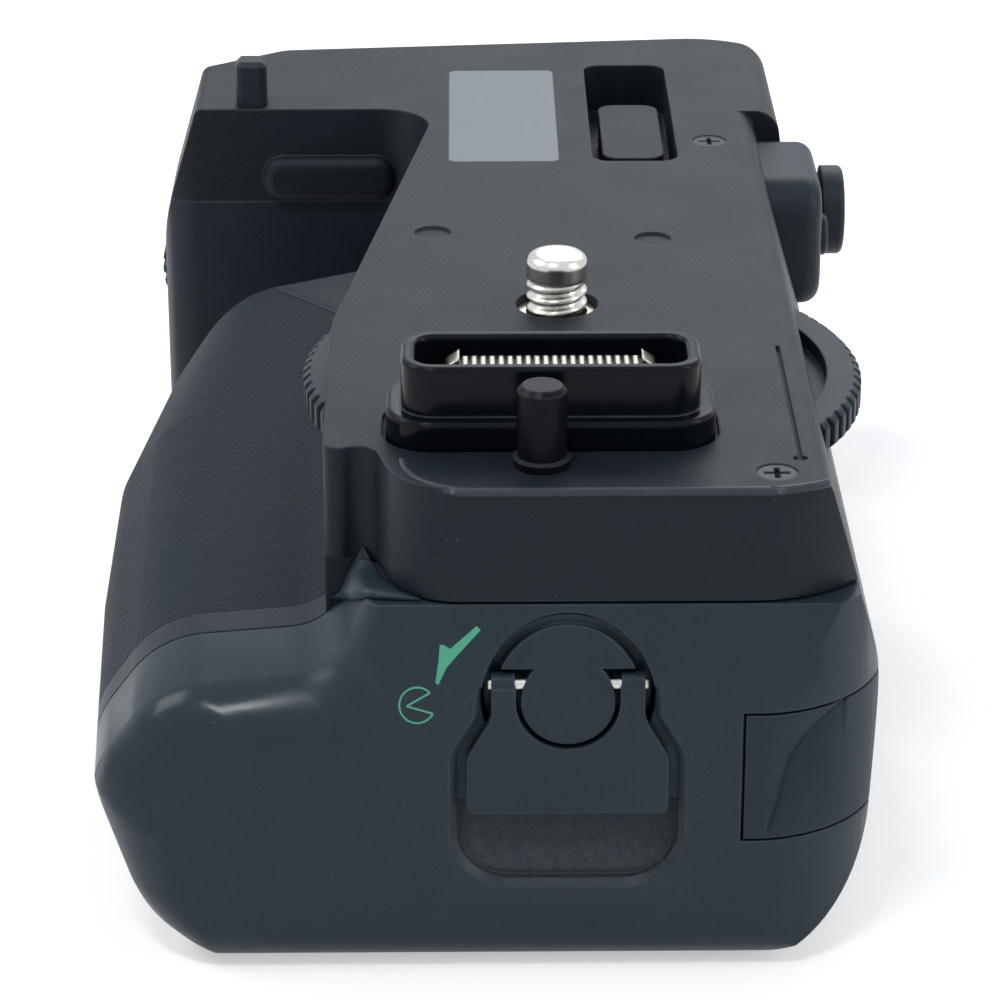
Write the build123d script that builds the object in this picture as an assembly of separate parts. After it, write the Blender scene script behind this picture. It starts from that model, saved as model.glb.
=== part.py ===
from build123d import *
import math
import os

# Camera battery grip, in millimetres. Zero is the attachment screw's axis on the deck.
# X runs towards the battery end, minus Y is the front with the handle, and Z is up.

# Driving dimensions
grip_height = 49.5
deck_end_x = 47.2
cap_end_x = 50.2
far_end_x = -93.0
handle_front_y = -45.1
handle_far_x = -36.5
horn_front_y = -45.6
horn_near_x = -64.2
deck_front_y = -23.0
rear_belly_y = 30.4
seam_z = -11.5
cap_seam_x = 36.0
wall = 2.2
cap_wall = 2.1
deck_thickness = 2.4
running_gap = 0.3
shaft_gap = 0.06
overrun = 3.0


def face_through(corners):
    """Closed face whose corners are (first, second, radius)."""
    points = [(first, second) for first, second, radius in corners]
    radii = [radius for first, second, radius in corners]
    return make_face(FilletPolyline(*points, radius=radii, close=True))


def drawn_in(corners, inset):
    """The same corners with every side moved inwards and the rounds kept concentric."""
    turns = [a[0] * b[1] - a[1] * b[0] for a, b in zip(corners, corners[1:] + corners[:1])]
    side = math.copysign(1, sum(turns))
    moved = []
    for before, here, after in zip(corners[-1:] + corners[:-1], corners, corners[1:] + corners[:1]):
        arriving = (Vector(*here[:2]) - Vector(*before[:2])).normalized()
        leaving = (Vector(*after[:2]) - Vector(*here[:2])).normalized()
        normals = Vector(0, 0, side).cross(arriving) + Vector(0, 0, side).cross(leaving)
        place = Vector(*here[:2]) + normals * (inset / (1 + arriving.dot(leaving)))
        outward = math.copysign(1, side * arriving.cross(leaving).Z)
        radius = max(here[2] - outward * inset, 0) if here[2] else 0
        moved.append((place.X, place.Y, radius))
    return moved


def stand(face, low, high):
    """Solid that rises from low to high on a plan outline."""
    return Pos(0, 0, low) * extrude(face, high - low, dir=(0, 0, 1))


def along_x(face, low, high):
    """Solid that runs along X with an outline drawn in Y and Z."""
    return Pos(low, 0, 0) * extrude(Plane.YZ * face, high - low, dir=(1, 0, 0))


def along_y(face, low, high):
    """Solid that runs along Y with an outline drawn in X and Z."""
    return Pos(0, low, 0) * extrude(Plane.XZ * face, high - low, dir=(0, 1, 0))


def block(low, high):
    """Box between two corners."""
    size = [end - start for start, end in zip(low, high)]
    return Pos(*low) * Box(*size, align=(Align.MIN, Align.MIN, Align.MIN))


def post(x, y, low, high, radius):
    """Upright round bar."""
    return Pos(x, y, low) * extrude(Circle(radius), high - low, dir=(0, 0, 1))


def bar_x(low, high, y, z, radius):
    """Round bar along X."""
    return Pos(low, y, z) * extrude(Plane.YZ * Circle(radius), high - low, dir=(1, 0, 0))


def bar_y(low, high, x, z, radius):
    """Round bar along Y."""
    return Pos(x, low, z) * extrude(Plane.XZ * Circle(radius), high - low, dir=(0, 1, 0))


# Outer form: plans and profiles that the casings, the rubbers and the end cap share
nose_y = -15.4
nose_crease_x = 36.0
nose_crease_y = -18.5
nose_crease_radius = 2.0
wall_corner_x = 38.8
notch_depth_y = -12.6
notch_turn_x = 5.0
horn_tip_x = -77.5
horn_bevel_x = -87.6
horn_bevel_y = -31.5
nose_radius = 7.0
end_radius = 13.0
far_radius = 12.0
horn_radius = 4.0
notch_radius = 6.0
wall_corner_radius = 1.5
deck_rear_y = 24.2
deck_edge_radius = 2.2
shoulder_x = -63.0
shoulder_rear_y = 27.6
shoulder_edge_radius = 3.0
belly_z = -22.0
belly_radius = 25.0
rear_foot_radius = 15.0
horn_top_y = -41.2
horn_belly_z = -15.0
horn_belly_radius = 30.0
horn_foot_radius = 8.0
horn_edge_radius = 1.0
far_foot_radius = 7.0
shoulder_y = -18.9
channel_y = -21.8
channel_z = -20.2
crest_y = -38.5
crest_z = -21.6
flank_z = -30.5
channel_radius = 6.0
crest_radius = 10.0
flank_radius = 9.0
handle_turn_z = -31.0
handle_turn_radius = 24.0
handle_foot_y = -39.2
handle_foot_radius = 12.0
rear_foot_y = 28.4
handle_widest_y = -47.4
handle_bend_x = -10.0
handle_far_y = -43.0
handle_bends = ((cap_end_x, -0.045), (12.0, 0.0), (handle_bend_x, 0.165))
handle_rise_share = 0.09
handle_far_radius = 18.0
handle_far_lean = 8.0
cap_roll_radius = 6.5
cap_roll_angles = (18, 36, 54, 72)
cap_roll_ease = 0.2
cap_swell_z = -20.0
cap_swell_radius = 20.0
cap_foot_radius = 5.0


def core_form(inset):
    """Deck, casing and horn together, without the handle."""
    wall_end = [
        (wall_corner_x, deck_front_y, wall_corner_radius),
        (nose_crease_x, nose_crease_y, nose_crease_radius),
        (nose_crease_x, deck_front_y, 0),
        (nose_crease_x, nose_crease_y, 0),
    ]
    plan = [
        (deck_end_x, rear_belly_y, end_radius),
        (far_end_x, rear_belly_y, far_radius),
        (horn_bevel_x, horn_bevel_y, horn_radius),
        (horn_tip_x, horn_front_y, horn_radius),
        (horn_near_x, horn_front_y, horn_radius),
        (horn_near_x, notch_depth_y, notch_radius),
        (notch_turn_x, deck_front_y, end_radius),
        *(wall_end[2:] if inset else wall_end[:2]),
        (deck_end_x, nose_y, nose_radius),
    ]
    profile = [
        (horn_top_y, 0, horn_edge_radius),
        (horn_front_y, horn_belly_z, horn_belly_radius),
        (horn_front_y, -grip_height, horn_foot_radius),
        (rear_foot_y, -grip_height, rear_foot_radius),
        (rear_belly_y, belly_z, belly_radius),
        (deck_rear_y, 0, deck_edge_radius),
    ]
    side = [
        (far_end_x, 0, horn_edge_radius),
        (far_end_x, -grip_height, far_foot_radius),
        (cap_end_x, -grip_height, 0),
        (cap_end_x, 0, 0),
    ]
    far_profile = profile[:-1] + [(shoulder_rear_y, 0, shoulder_edge_radius)]
    tall = stand(face_through(drawn_in(plan, inset)), -grip_height, 0)
    long = along_x(face_through(drawn_in(profile, inset)), far_end_x, cap_end_x)
    long += along_x(face_through(drawn_in(far_profile, inset)), far_end_x, shoulder_x - inset)
    across = along_y(face_through(drawn_in(side, inset)), horn_front_y, rear_belly_y)
    return tall & long & across


handle_top = [
    (shoulder_y + (shoulder_y - channel_y), seam_z + (seam_z - channel_z), 0),
    (channel_y, channel_z, channel_radius),
    (crest_y, crest_z, crest_radius),
    (handle_front_y, flank_z, flank_radius),
    (handle_front_y, 2 * -grip_height, 0),
    (2 * grip_height, 2 * -grip_height, 0),
    (2 * grip_height, seam_z + (seam_z - channel_z), 0),
]
handle_front = [
    (handle_front_y, 0, 0),
    (handle_front_y, handle_turn_z, handle_turn_radius),
    (handle_foot_y, -grip_height, handle_foot_radius),
    (2 * grip_height, -grip_height, 0),
    (2 * grip_height, 0, 0),
]


def swept(face, length, near_x, shift, drift, rise):
    """Solid that a section in Y and Z leaves as it runs towards the far end, drifting and rising by shares."""
    course = Vector(-1, drift, rise)
    return Pos(near_x, shift, 0) * extrude(Plane.YZ * face, length * course.length, dir=course)


def handle_form(inset):
    """Handle with the battery end behind it, below the deck's seam."""
    plan = [
        (cap_end_x, rear_belly_y, end_radius),
        (handle_far_x - handle_far_lean, rear_belly_y, 0),
        (handle_far_x - handle_far_lean, notch_depth_y, 0),
        (handle_far_x, handle_far_y, handle_far_radius),
        (handle_bend_x, handle_widest_y, 0),
        (cap_end_x, handle_widest_y, 0),
    ]
    rear = [
        (2 * -grip_height, seam_z, 0),
        (2 * -grip_height, -grip_height, 0),
        (rear_foot_y, -grip_height, rear_foot_radius),
        (rear_belly_y, belly_z, belly_radius),
        (deck_rear_y + (rear_belly_y - deck_rear_y) * seam_z / belly_z, seam_z, 0),
    ]
    side = [
        (handle_far_x - handle_far_lean, seam_z, 0),
        (handle_far_x - handle_far_lean, -grip_height, 0),
        (cap_end_x, -grip_height, cap_foot_radius),
        (cap_end_x, cap_swell_z, cap_swell_radius),
        (deck_end_x, seam_z, 0),
    ]
    length = cap_end_x - handle_far_x + handle_far_lean
    form = stand(face_through(drawn_in(plan, inset)), -grip_height, seam_z)
    form &= along_x(face_through(drawn_in(rear, inset)), handle_far_x - handle_far_lean, cap_end_x)
    form &= along_y(face_through(drawn_in(side, inset)), handle_widest_y, rear_belly_y)
    top = face_through(drawn_in(handle_top, inset))
    front = face_through(drawn_in(handle_front, inset))
    shift = 0
    before = handle_bends[0][1]
    for bend_x, share in handle_bends:
        shift += (before - share) * (cap_end_x - bend_x)
        before = share
        form &= swept(top, length, cap_end_x, shift, share, handle_rise_share)
        form &= swept(front, length, cap_end_x, shift, share, 0)
    return form


def cap_form(form, inset):
    """Battery end of the handle's form, rolled over where its face meets the top and the front."""
    near_x = cap_end_x - inset
    length = near_x - cap_seam_x
    form &= block((cap_seam_x, handle_widest_y, -grip_height), (cap_end_x, rear_belly_y, seam_z))
    top = face_through(drawn_in(handle_top, inset))
    front = face_through(drawn_in(handle_front, inset))
    drift = handle_bends[0][1]
    for degrees in cap_roll_angles:
        angle = math.radians(degrees)
        sunk = (cap_roll_radius - inset) * (1 - (1 - math.sin(angle)) / math.cos(angle))
        slope = math.tan(angle)
        form &= Pos(0, 0, -sunk) * swept(top, length, near_x, sunk, drift - slope, handle_rise_share + slope)
        form &= swept(front, length, near_x, sunk - cap_roll_ease, drift - slope, 0)
    return form


# Gears between the attachment wheel and the screw
gear_module = 0.7
gear_teeth = 12
gear_reach = gear_module * gear_teeth
gear_clearance = 0.12
gear_pressure = math.radians(25)
tooth_rise_share = 0.85
tooth_fall_share = 1.1
gear_thickness = 2.2


def gear_face():
    """Toothed outline with involute flanks, one tooth on the X axis."""
    pitch = gear_reach / 2
    base = pitch * math.cos(gear_pressure)
    tip = pitch + tooth_rise_share * gear_module
    root = pitch - tooth_fall_share * gear_module
    half = (math.pi * gear_module / 2 - gear_clearance) / (2 * pitch)

    def flank(radius):
        """Half angle of the tooth at a radius."""
        slant = math.acos(min(base / radius, 1))
        return half + math.tan(gear_pressure) - gear_pressure - math.tan(slant) + slant

    def at(radius, angle):
        return (radius * math.cos(angle), radius * math.sin(angle))

    foot = max(root, base)
    middle = (foot + tip) / 2
    step = 2 * math.pi / gear_teeth
    edges = []
    for number in range(gear_teeth):
        centre = number * step
        low, high = centre - flank(foot), centre + flank(foot)
        edges.append(Line(at(root, low), at(foot, low)))
        edges.append(ThreePointArc(at(foot, low), at(middle, centre - flank(middle)),
                                   at(tip, centre - flank(tip))))
        edges.append(Line(at(tip, centre - flank(tip)), at(tip, centre + flank(tip))))
        edges.append(ThreePointArc(at(tip, centre + flank(tip)), at(middle, centre + flank(middle)),
                                   at(foot, high)))
        edges.append(Line(at(foot, high), at(root, high)))
        edges.append(Line(at(root, high), at(root, low + step)))
    return make_face(Curve() + edges)


# Attachment screw: a quarter-inch camera screw with its gear under the deck
screw_radius = 3.175
screw_rise = 5.6
screw_tip = 0.6
collar_radius = 4.2
collar_top_z = -0.8
gear_top_z = -2.7
wheel_y = 2.4
wheel_x = math.sqrt(gear_reach ** 2 - wheel_y ** 2)
mesh_angle = math.degrees(math.atan2(wheel_y, wheel_x))


def attachment_screw():
    stud = chamfer(post(0, 0, collar_top_z, screw_rise, screw_radius).edges().sort_by(Axis.Z)[-1], screw_tip)
    collar = post(0, 0, gear_top_z, collar_top_z, collar_radius)
    pinion = Rot(0, 0, mesh_angle) * stand(gear_face(), gear_top_z - gear_thickness, gear_top_z)
    return stud + collar + pinion


# Ribs on the wheels: where the ridge and the groove's floor start and end within one pitch
knurl_shares = (0.0, 0.42, 0.56, 0.86)


def knurled_face(radius, depth, count):
    """Round outline with straight-sided ribs."""
    points = []
    for number in range(count):
        for place, share in enumerate(knurl_shares):
            reach = radius if place < 2 else radius - depth
            angle = 2 * math.pi * (number + share) / count
            points.append((reach * math.cos(angle), reach * math.sin(angle)))
    return make_face(Polyline(*points, close=True))


# Attachment wheel: a ribbed thumb wheel that shows at the front and the rear
wheel_radius = 28.3
wheel_rib_depth = 0.8
wheel_ribs = 90
wheel_top_z = -3.6
wheel_height = 3.8
wheel_bevel = 1.0
wheel_top_bevel = 0.6
web_top_z = -5.2
web_thickness = 1.7
wheel_rim = 3.5
wheel_bore = 1.5


def attachment_wheel():
    bottom = wheel_top_z - wheel_height
    disc = post(wheel_x, wheel_y, bottom, wheel_top_z, wheel_radius)
    disc = chamfer(disc.edges().group_by(Axis.Z)[0], wheel_bevel)
    disc = chamfer(disc.edges().group_by(Axis.Z)[-1], wheel_top_bevel)
    ribs = stand(knurled_face(wheel_radius, wheel_rib_depth, wheel_ribs), bottom, wheel_top_z)
    dish = post(wheel_x, wheel_y, bottom - overrun, wheel_top_z + overrun, wheel_radius - wheel_rim)
    web = post(wheel_x, wheel_y, web_top_z - web_thickness, web_top_z, wheel_radius - wheel_rim)
    gear = Rot(0, 0, mesh_angle + 180 / gear_teeth) * stand(gear_face(), web_top_z, gear_top_z)
    bore = post(wheel_x, wheel_y, bottom - overrun, 0, wheel_bore + shaft_gap)
    return (disc & Pos(wheel_x, wheel_y, 0) * ribs) - dish + web + Pos(wheel_x, wheel_y, 0) * gear - bore


# Battery chamber and the holder that slides in it
chamber_half_y = 22.0
chamber_top_z = -18.6
chamber_bottom_z = -44.6
chamber_far_x = -37.0
chamber_wall = 1.5
holder_half_y = chamber_half_y - running_gap
holder_top_z = chamber_top_z - running_gap
holder_bottom_z = chamber_bottom_z + running_gap
holder_far_x = -36.3
knob_z = -20.7
tongue_half_width = 1.6
tongue_reach = 5.6
tongue_sweep = 5.9
tongue_near_x = 34.8
tongue_far_x = 31.8

core_out = core_form(0)
core_in = core_form(wall)
handle_out = handle_form(0)
handle_in = handle_form(wall)
cap_out = cap_form(handle_out, 0)
cap_in = cap_form(handle_form(cap_wall), cap_wall)
axle_radius = wheel_bore
axle_top_z = -1.2
axle_boss_radius = 4.0
axle_boss_top_z = wheel_top_z - wheel_height - running_gap
roof_top_z = chamber_top_z + chamber_wall

# Deck fittings: connector, pins, label, storage pocket and screws
connector_x = 32.1
connector_y = -1.4
flange_size = (12.6, 31.4)
flange_radius = 4.5
flange_top_z = 2.8
shroud_size = (9.8, 28.4)
shroud_radius = 3.2
shroud_top_z = 7.8
shroud_wall = 1.4
shroud_floor_z = 2.0
recess_depth = 0.6
recess_margin = 0.35
insert_size = (3.4, 19.6)
insert_top_z = 6.4
insert_foot_z = -2.5
insert_round = 0.8
contact_sink = 0.3
contact_count = 20
contact_pitch = 0.85
contact_width = 0.45
contact_rise = 0.2
rim_round = 0.5
contact_length = 2.4
board_thickness = 0.8
connector_board_size = (11.0, 25.0)
guide_pin_x = 41.6
guide_pin_y = -2.4
guide_pin_radius = 2.35
guide_pin_rise = 8.0
guide_pin_foot_radius = 2.7
guide_pin_foot = 0.9
pin_seat = 1.2
pin_tip = 0.5
guide_peg_x = -66.8
guide_peg_y = -34.6
guide_peg_size = 3.6
guide_peg_rise = 5.4
guide_peg_round = 0.8
label_x = (-79.0, -45.0)
label_y = (-11.2, 1.4)
label_depth = 0.4
label_round = 1.0
pocket_x = (-81.0, -45.0)
pocket_y = (5.2, 15.0)
pocket_depth = 6.0
pocket_wall = 1.4
pocket_round = 2.0
island_x = (-69.0, -49.5)
island_y = (6.6, 13.6)
island_top_z = -1.2
deck_screw_places = ((43.6, 19.4), (-52.2, 18.9))
screw_head_radius = 1.95
screw_head_height = 1.1
screw_head_sink = 0.1
screw_shank_radius = 0.9
screw_shank_length = 6.0
screw_boss_radius = 2.4
dimple_places = ((-21.5, -12.9), (-19.4, 10.8))
dimple_radius = 2.0
dimple_depth = 0.3
groove_y = 21.6
groove_x = (12.0, 40.4)
groove_width = 0.45
groove_dot_radius = 0.7


def rounded_plate(x, y, size, radius, low, high):
    """Upright plate with rounded corners, centred on x and y."""
    return Pos(x, y, low) * extrude(RectangleRounded(*size, radius), high - low, dir=(0, 0, 1))


def between(x, y, radius, low, high):
    """Upright plate with rounded corners between two pairs of limits."""
    size = (x[1] - x[0], y[1] - y[0])
    return rounded_plate(sum(x) / 2, sum(y) / 2, size, radius, low, high)


def grown(size, margin):
    """A size made larger all round."""
    return tuple(side + 2 * margin for side in size)


def grown_limits(limits, margin):
    """A pair of limits moved apart."""
    return (limits[0] - margin, limits[1] + margin)


# Rear control panel and the controls in it
panel_x = (-62.7, -43.5)
panel_z = (-18.0, -2.6)
panel_y = (23.9, 31.6)
panel_round = 4.0
panel_wall = 1.6
panel_edge = 2.0
selector_x = -57.0
selector_z = -10.2
selector_hole_radius = 2.9
selector_pad_radius = 5.2
selector_pad_y = (32.4, 35.0)
selector_stem_radius = 2.2
selector_stem_y = 29.0
selector_edge = 0.7
selector_dish = 3.4
selector_dish_depth = 0.9
selector_rocker_radius = 4.1
selector_rocker_y = (27.7, 28.7)
selector_post_radius = 1.4
selector_post_y = 27.5
selector_dome_reach = 3.0
selector_dome_radius = 0.7
af_x = -48.5
af_z = -10.2
af_radius = 2.4
af_flange_radius = 3.0
af_y = (28.0, 32.5)
af_flange = 1.6
af_edge = 0.5
control_board_y = (24.2, 25.2)
dome_radius = 1.5
dome_top_y = 27.0
main_dial_x = -83.2
main_dial_y = 25.2
main_dial_z = -20.5
main_dial_radius = 8.4
main_dial_width = 5.0
sub_dial_x = -71.0
sub_dial_y = -36.1
sub_dial_z = -21.5
sub_dial_radius = 10.0
sub_dial_width = 5.0
dial_ribs = 36
dial_rib_depth = 0.55
dial_axle_radius = 0.8
dial_bracket = 1.4
dial_bracket_half = 4.0
shutter_z = -21.5
shutter_bore_radius = 5.3
shutter_ring_radius = 7.6
shutter_ring_top = 2.2
shutter_ring_sink = 1.6
shutter_boss_radius = 9.2
shutter_boss_depth = 4.4
shutter_head_radius = 4.8
shutter_head_top = 3.6
shutter_head_foot = 0.1
shutter_head_round = 1.0
shutter_stem_radius = 2.4
shutter_clip_radius = 3.3
shutter_clip = 0.8
shutter_lever_width = 2.6
shutter_lever_reach = 9.4


def shutter_plane():
    """Plane on the horn's bevelled face, looking outwards."""
    along = Vector(horn_tip_x - horn_bevel_x, horn_front_y - horn_bevel_y, 0).normalized()
    middle = Vector(horn_tip_x + horn_bevel_x, horn_front_y + horn_bevel_y, 0) * 0.5
    outward = along.cross(Vector(0, 0, 1))
    return Plane(origin=(middle.X, middle.Y, shutter_z), x_dir=along, z_dir=outward)


def turned(radius, low, high):
    """Round bar on the horn's bevelled face, between two heights above it."""
    bar = Pos(0, 0, low) * extrude(Circle(radius), high - low, dir=(0, 0, 1))
    return shutter_plane() * bar


def wall_plate(x, z, radius, low, high):
    """Plate with rounded corners that stands across the rear wall, between two values of Y."""
    plate = Plane.XZ * RectangleRounded(x[1] - x[0], z[1] - z[0], radius)
    return Pos(sum(x) / 2, low, sum(z) / 2) * extrude(plate, high - low, dir=(0, 1, 0))


def panel_plate(margin, low, high):
    """The rear panel's outline drawn in by a margin."""
    return wall_plate(grown_limits(panel_x, -margin), grown_limits(panel_z, -margin), panel_round - margin / 2,
                      low, high)


def wheel_slot():
    """Room that the attachment wheel turns in."""
    top = wheel_top_z + running_gap
    bottom = wheel_top_z - wheel_height - running_gap
    return post(wheel_x, wheel_y, bottom, top, wheel_radius + running_gap)


def dial_slots():
    """Room for the two command dials."""
    front = bar_x(sub_dial_x - sub_dial_width / 2 - running_gap, sub_dial_x + sub_dial_width / 2 + running_gap,
                  sub_dial_y, sub_dial_z, sub_dial_radius + running_gap)
    rear = bar_x(main_dial_x - main_dial_width / 2 - running_gap, main_dial_x + main_dial_width / 2 + running_gap,
                 main_dial_y, main_dial_z, main_dial_radius + running_gap)
    return front + rear


def dial_axle_bars(radius):
    """Bars on the axes of the two dials, from rib to rib."""
    reach = sub_dial_width / 2 + running_gap + dial_bracket
    front = bar_x(sub_dial_x - reach, sub_dial_x + reach, sub_dial_y, sub_dial_z, radius)
    rear = bar_x(main_dial_x - reach, main_dial_x + reach, main_dial_y, main_dial_z, radius)
    return [front, rear]


panel_space = panel_plate(0, panel_y[0], panel_y[1] + overrun)
ridge_y = (-33.4, -17.6)
ridge_z = (-11.2, -5.8)
ridge_rise = 1.4
ridge_edge = 1.3


def horn_ridge():
    """Rounded bar that stands out of the horn's near face."""
    outline = Plane.YZ * RectangleRounded(ridge_y[1] - ridge_y[0], ridge_z[1] - ridge_z[0],
                                          (ridge_z[1] - ridge_z[0]) / 2 - running_gap)
    bar = Pos(horn_near_x - wall, sum(ridge_y) / 2, sum(ridge_z) / 2) * extrude(
        outline, wall + ridge_rise, dir=(1, 0, 0))
    return fillet(bar.edges().group_by(Axis.X)[-1], ridge_edge)


def top_casing():
    shell = core_out & block((far_end_x, handle_widest_y, seam_z), (deck_end_x, rear_belly_y, 0))
    hollow = core_in & block((far_end_x, handle_widest_y, seam_z - overrun), (deck_end_x, rear_belly_y, -deck_thickness))
    casing = shell - hollow + horn_ridge()
    for x, y in deck_screw_places:
        casing += post(x, y, seam_z, -deck_thickness, screw_boss_radius) & core_out
    casing += between(grown_limits(pocket_x, pocket_wall), grown_limits(pocket_y, pocket_wall), pocket_round,
                      -pocket_depth - pocket_wall, -deck_thickness)
    casing -= between(pocket_x, pocket_y, pocket_round, -pocket_depth, overrun)
    casing += between(island_x, island_y, pocket_round, -pocket_depth, island_top_z)
    casing -= between(label_x, label_y, label_round, -label_depth, overrun)
    casing -= rounded_plate(connector_x, connector_y, grown(flange_size, recess_margin),
                            flange_radius + recess_margin, -recess_depth, overrun)
    casing -= rounded_plate(connector_x, connector_y, insert_size, insert_round,
                            -deck_thickness - overrun, overrun)
    casing -= post(0, 0, -deck_thickness - overrun, overrun, collar_radius + shaft_gap)
    casing -= post(guide_pin_x, guide_pin_y, -pin_seat, overrun, guide_pin_foot_radius)
    casing -= rounded_plate(guide_peg_x, guide_peg_y, (guide_peg_size, guide_peg_size), guide_peg_round,
                            -pin_seat, overrun)
    casing -= post(wheel_x, wheel_y, -deck_thickness - overrun, axle_top_z, axle_radius)
    for x, y in deck_screw_places:
        casing -= post(x, y, -screw_head_height - screw_head_sink, overrun, screw_head_radius)
        casing -= post(x, y, -screw_head_height - screw_shank_length - screw_head_sink, overrun, screw_shank_radius)
    for x, y in dimple_places:
        casing -= post(x, y, -dimple_depth, overrun, dimple_radius)
    casing -= block((groove_x[0], groove_y, -groove_width), (groove_x[1], groove_y + groove_width, overrun))
    casing -= post(groove_x[1], groove_y + groove_width / 2, -groove_width, overrun, groove_dot_radius)
    return casing - wheel_slot() - panel_space


# Soft coverings, set into the casing
rubber_thickness = 1.5
rubber_near_x = 32.5
rubber_top_z = -13.2
rubber_low_z = -44.0
thumb_x = (-38.0, 30.0)
thumb_z = (-42.0, -24.0)
thumb_round = 6.0
handle_skin = handle_form(rubber_thickness)
core_skin = core_form(rubber_thickness)


def handle_rubber():
    zone = block((handle_far_x - handle_far_lean, handle_widest_y, rubber_low_z),
                 (rubber_near_x, deck_front_y, rubber_top_z))
    return (handle_out & zone) - (handle_skin & zone)


def thumb_rubber():
    zone = wall_plate(thumb_x, thumb_z, thumb_round, chamber_half_y + chamber_wall, rear_belly_y)
    return ((core_out + handle_out) & zone) - core_skin - handle_skin


# Base: plate, tripod bush and screws
base_x = (-74.0, 26.0)
base_y = (-10.5, 16.5)
base_round = 6.0
base_thickness = 1.8
bush_radius = 6.0
bush_bore_radius = 3.2
bush_length = 4.6
base_screw_margin = 5.0
base_screw_head_radius = 2.2
base_screw_length = 3.6


def base_screw_places():
    xs = (base_x[0] + base_screw_margin, sum(base_x) / 2, base_x[1] - base_screw_margin)
    ys = (base_y[0] + base_screw_margin, base_y[1] - base_screw_margin)
    return [(x, y) for x in xs for y in ys]


def base_plate():
    plate = between(base_x, base_y, base_round, -grip_height, -grip_height + base_thickness)
    plate -= post(0, 0, -grip_height - overrun, 0, bush_radius)
    for x, y in base_screw_places():
        plate -= post(x, y, -grip_height - overrun, 0, screw_shank_radius)
        plate -= post(x, y, -grip_height - overrun, -grip_height + screw_head_height, base_screw_head_radius)
    return plate


def base_screws():
    return Compound(children=[
        post(x, y, -grip_height, -grip_height + screw_head_height, base_screw_head_radius)
        + post(x, y, -grip_height, -grip_height + base_screw_length, screw_shank_radius)
        for x, y in base_screw_places()])


def tripod_bush():
    bush = post(0, 0, -grip_height, -grip_height + bush_length, bush_radius)
    return bush - post(0, 0, -grip_height - overrun, 0, bush_bore_radius)


# Chamber contacts at the far end
contact_block_x = (-41.5, chamber_far_x - chamber_wall)
contact_block_y = (-9.0, 9.0)
spring_pin_x = (-42.3, -36.6)
contact_block_z = (-38.0, -26.0)
spring_pin_count = 4
spring_pin_pitch = 4.0
spring_pin_radius = 0.9
circuit_x = (-34.0, 28.0)
circuit_y = (-12.0, 20.0)
circuit_z = (-14.6, -13.4)
standoff_radius = 2.0
standoff_inset = 6.0


def spring_pin_rows():
    first = -(spring_pin_count - 1) / 2 * spring_pin_pitch
    return [first + number * spring_pin_pitch for number in range(spring_pin_count)]


def standoff_places():
    return [(x, y) for x in (circuit_x[0] + standoff_inset, circuit_x[1] - standoff_inset)
            for y in (circuit_y[0] + standoff_inset, circuit_y[1] - standoff_inset)]


handle_cover = handle_rubber()
thumb_cover = thumb_rubber()


def dial_brackets(x, y, z, wall_y):
    """Pair of brackets from a wall to a dial's axle."""
    pair = []
    for side in (-1, 1):
        near = x + side * (sub_dial_width / 2 + running_gap)
        low, high = sorted((near, near + side * dial_bracket))
        front, back = sorted((wall_y, y - math.copysign(dial_bracket_half, wall_y)))
        pair.append(block((low, front, z - dial_bracket_half), (high, back, z + dial_bracket_half)))
    return pair


def main_casing():
    lower = block((far_end_x, handle_widest_y, -grip_height), (cap_seam_x, rear_belly_y, seam_z))
    outer = (core_out + handle_out) & lower
    inner = (core_in + handle_in) & block((far_end_x, handle_widest_y, -grip_height),
                                         (cap_seam_x - wall, rear_belly_y, seam_z + overrun))
    chamber = block((chamber_far_x, -chamber_half_y, chamber_bottom_z),
                    (cap_seam_x + overrun, chamber_half_y, chamber_top_z))
    walls = block((chamber_far_x - chamber_wall, -chamber_half_y - chamber_wall, -grip_height + wall / 2),
                  (cap_seam_x, chamber_half_y + chamber_wall, roof_top_z))
    keeper = block((tongue_far_x - running_gap - chamber_wall, -tongue_sweep - chamber_wall, chamber_top_z),
                   (cap_seam_x, tongue_sweep + chamber_wall, knob_z + tongue_sweep + chamber_wall))
    slot = bar_x(tongue_far_x - running_gap, tongue_near_x + running_gap, 0, knob_z, tongue_sweep)
    fittings = [walls, keeper, post(wheel_x, wheel_y, chamber_top_z, axle_boss_top_z, axle_boss_radius)]
    fittings += [post(x, y, chamber_top_z, circuit_z[0], standoff_radius) for x, y in standoff_places()]
    fittings += dial_brackets(sub_dial_x, sub_dial_y, sub_dial_z, horn_front_y)
    fittings += dial_brackets(main_dial_x, main_dial_y, main_dial_z, rear_belly_y)
    fittings.append(turned(shutter_boss_radius, -shutter_boss_depth, 0))
    cuts = [chamber, slot, dial_slots(), *dial_axle_bars(dial_axle_radius)]
    cuts.append(turned(shutter_ring_radius + running_gap, -shutter_ring_sink, overrun))
    cuts.append(turned(shutter_stem_radius + shaft_gap, -shutter_boss_depth - overrun, overrun))
    cuts.append(post(wheel_x, wheel_y, roof_top_z, 0, axle_radius))
    cuts += [bar_x(contact_block_x[0], chamber_far_x + overrun, y, sum(contact_block_z) / 2, spring_pin_radius)
             for y in spring_pin_rows()]
    cuts.append(between(base_x, base_y, base_round, -grip_height - overrun, -grip_height + base_thickness))
    cuts.append(post(0, 0, -grip_height - overrun, -grip_height + bush_length, bush_radius))
    cuts += [post(x, y, -grip_height, -grip_height + base_screw_length, screw_shank_radius)
             for x, y in base_screw_places()]
    casing = outer - inner
    for fitting in fittings:
        casing += fitting & outer
    for cut in cuts:
        casing -= cut
    return casing - handle_cover - thumb_cover - panel_space


def battery_chamber_contact_block():
    body = block((contact_block_x[0], contact_block_y[0], contact_block_z[0]),
                 (contact_block_x[1], contact_block_y[1], contact_block_z[1]))
    for pin in chamber_contact_pins():
        body -= pin
    return body


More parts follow.
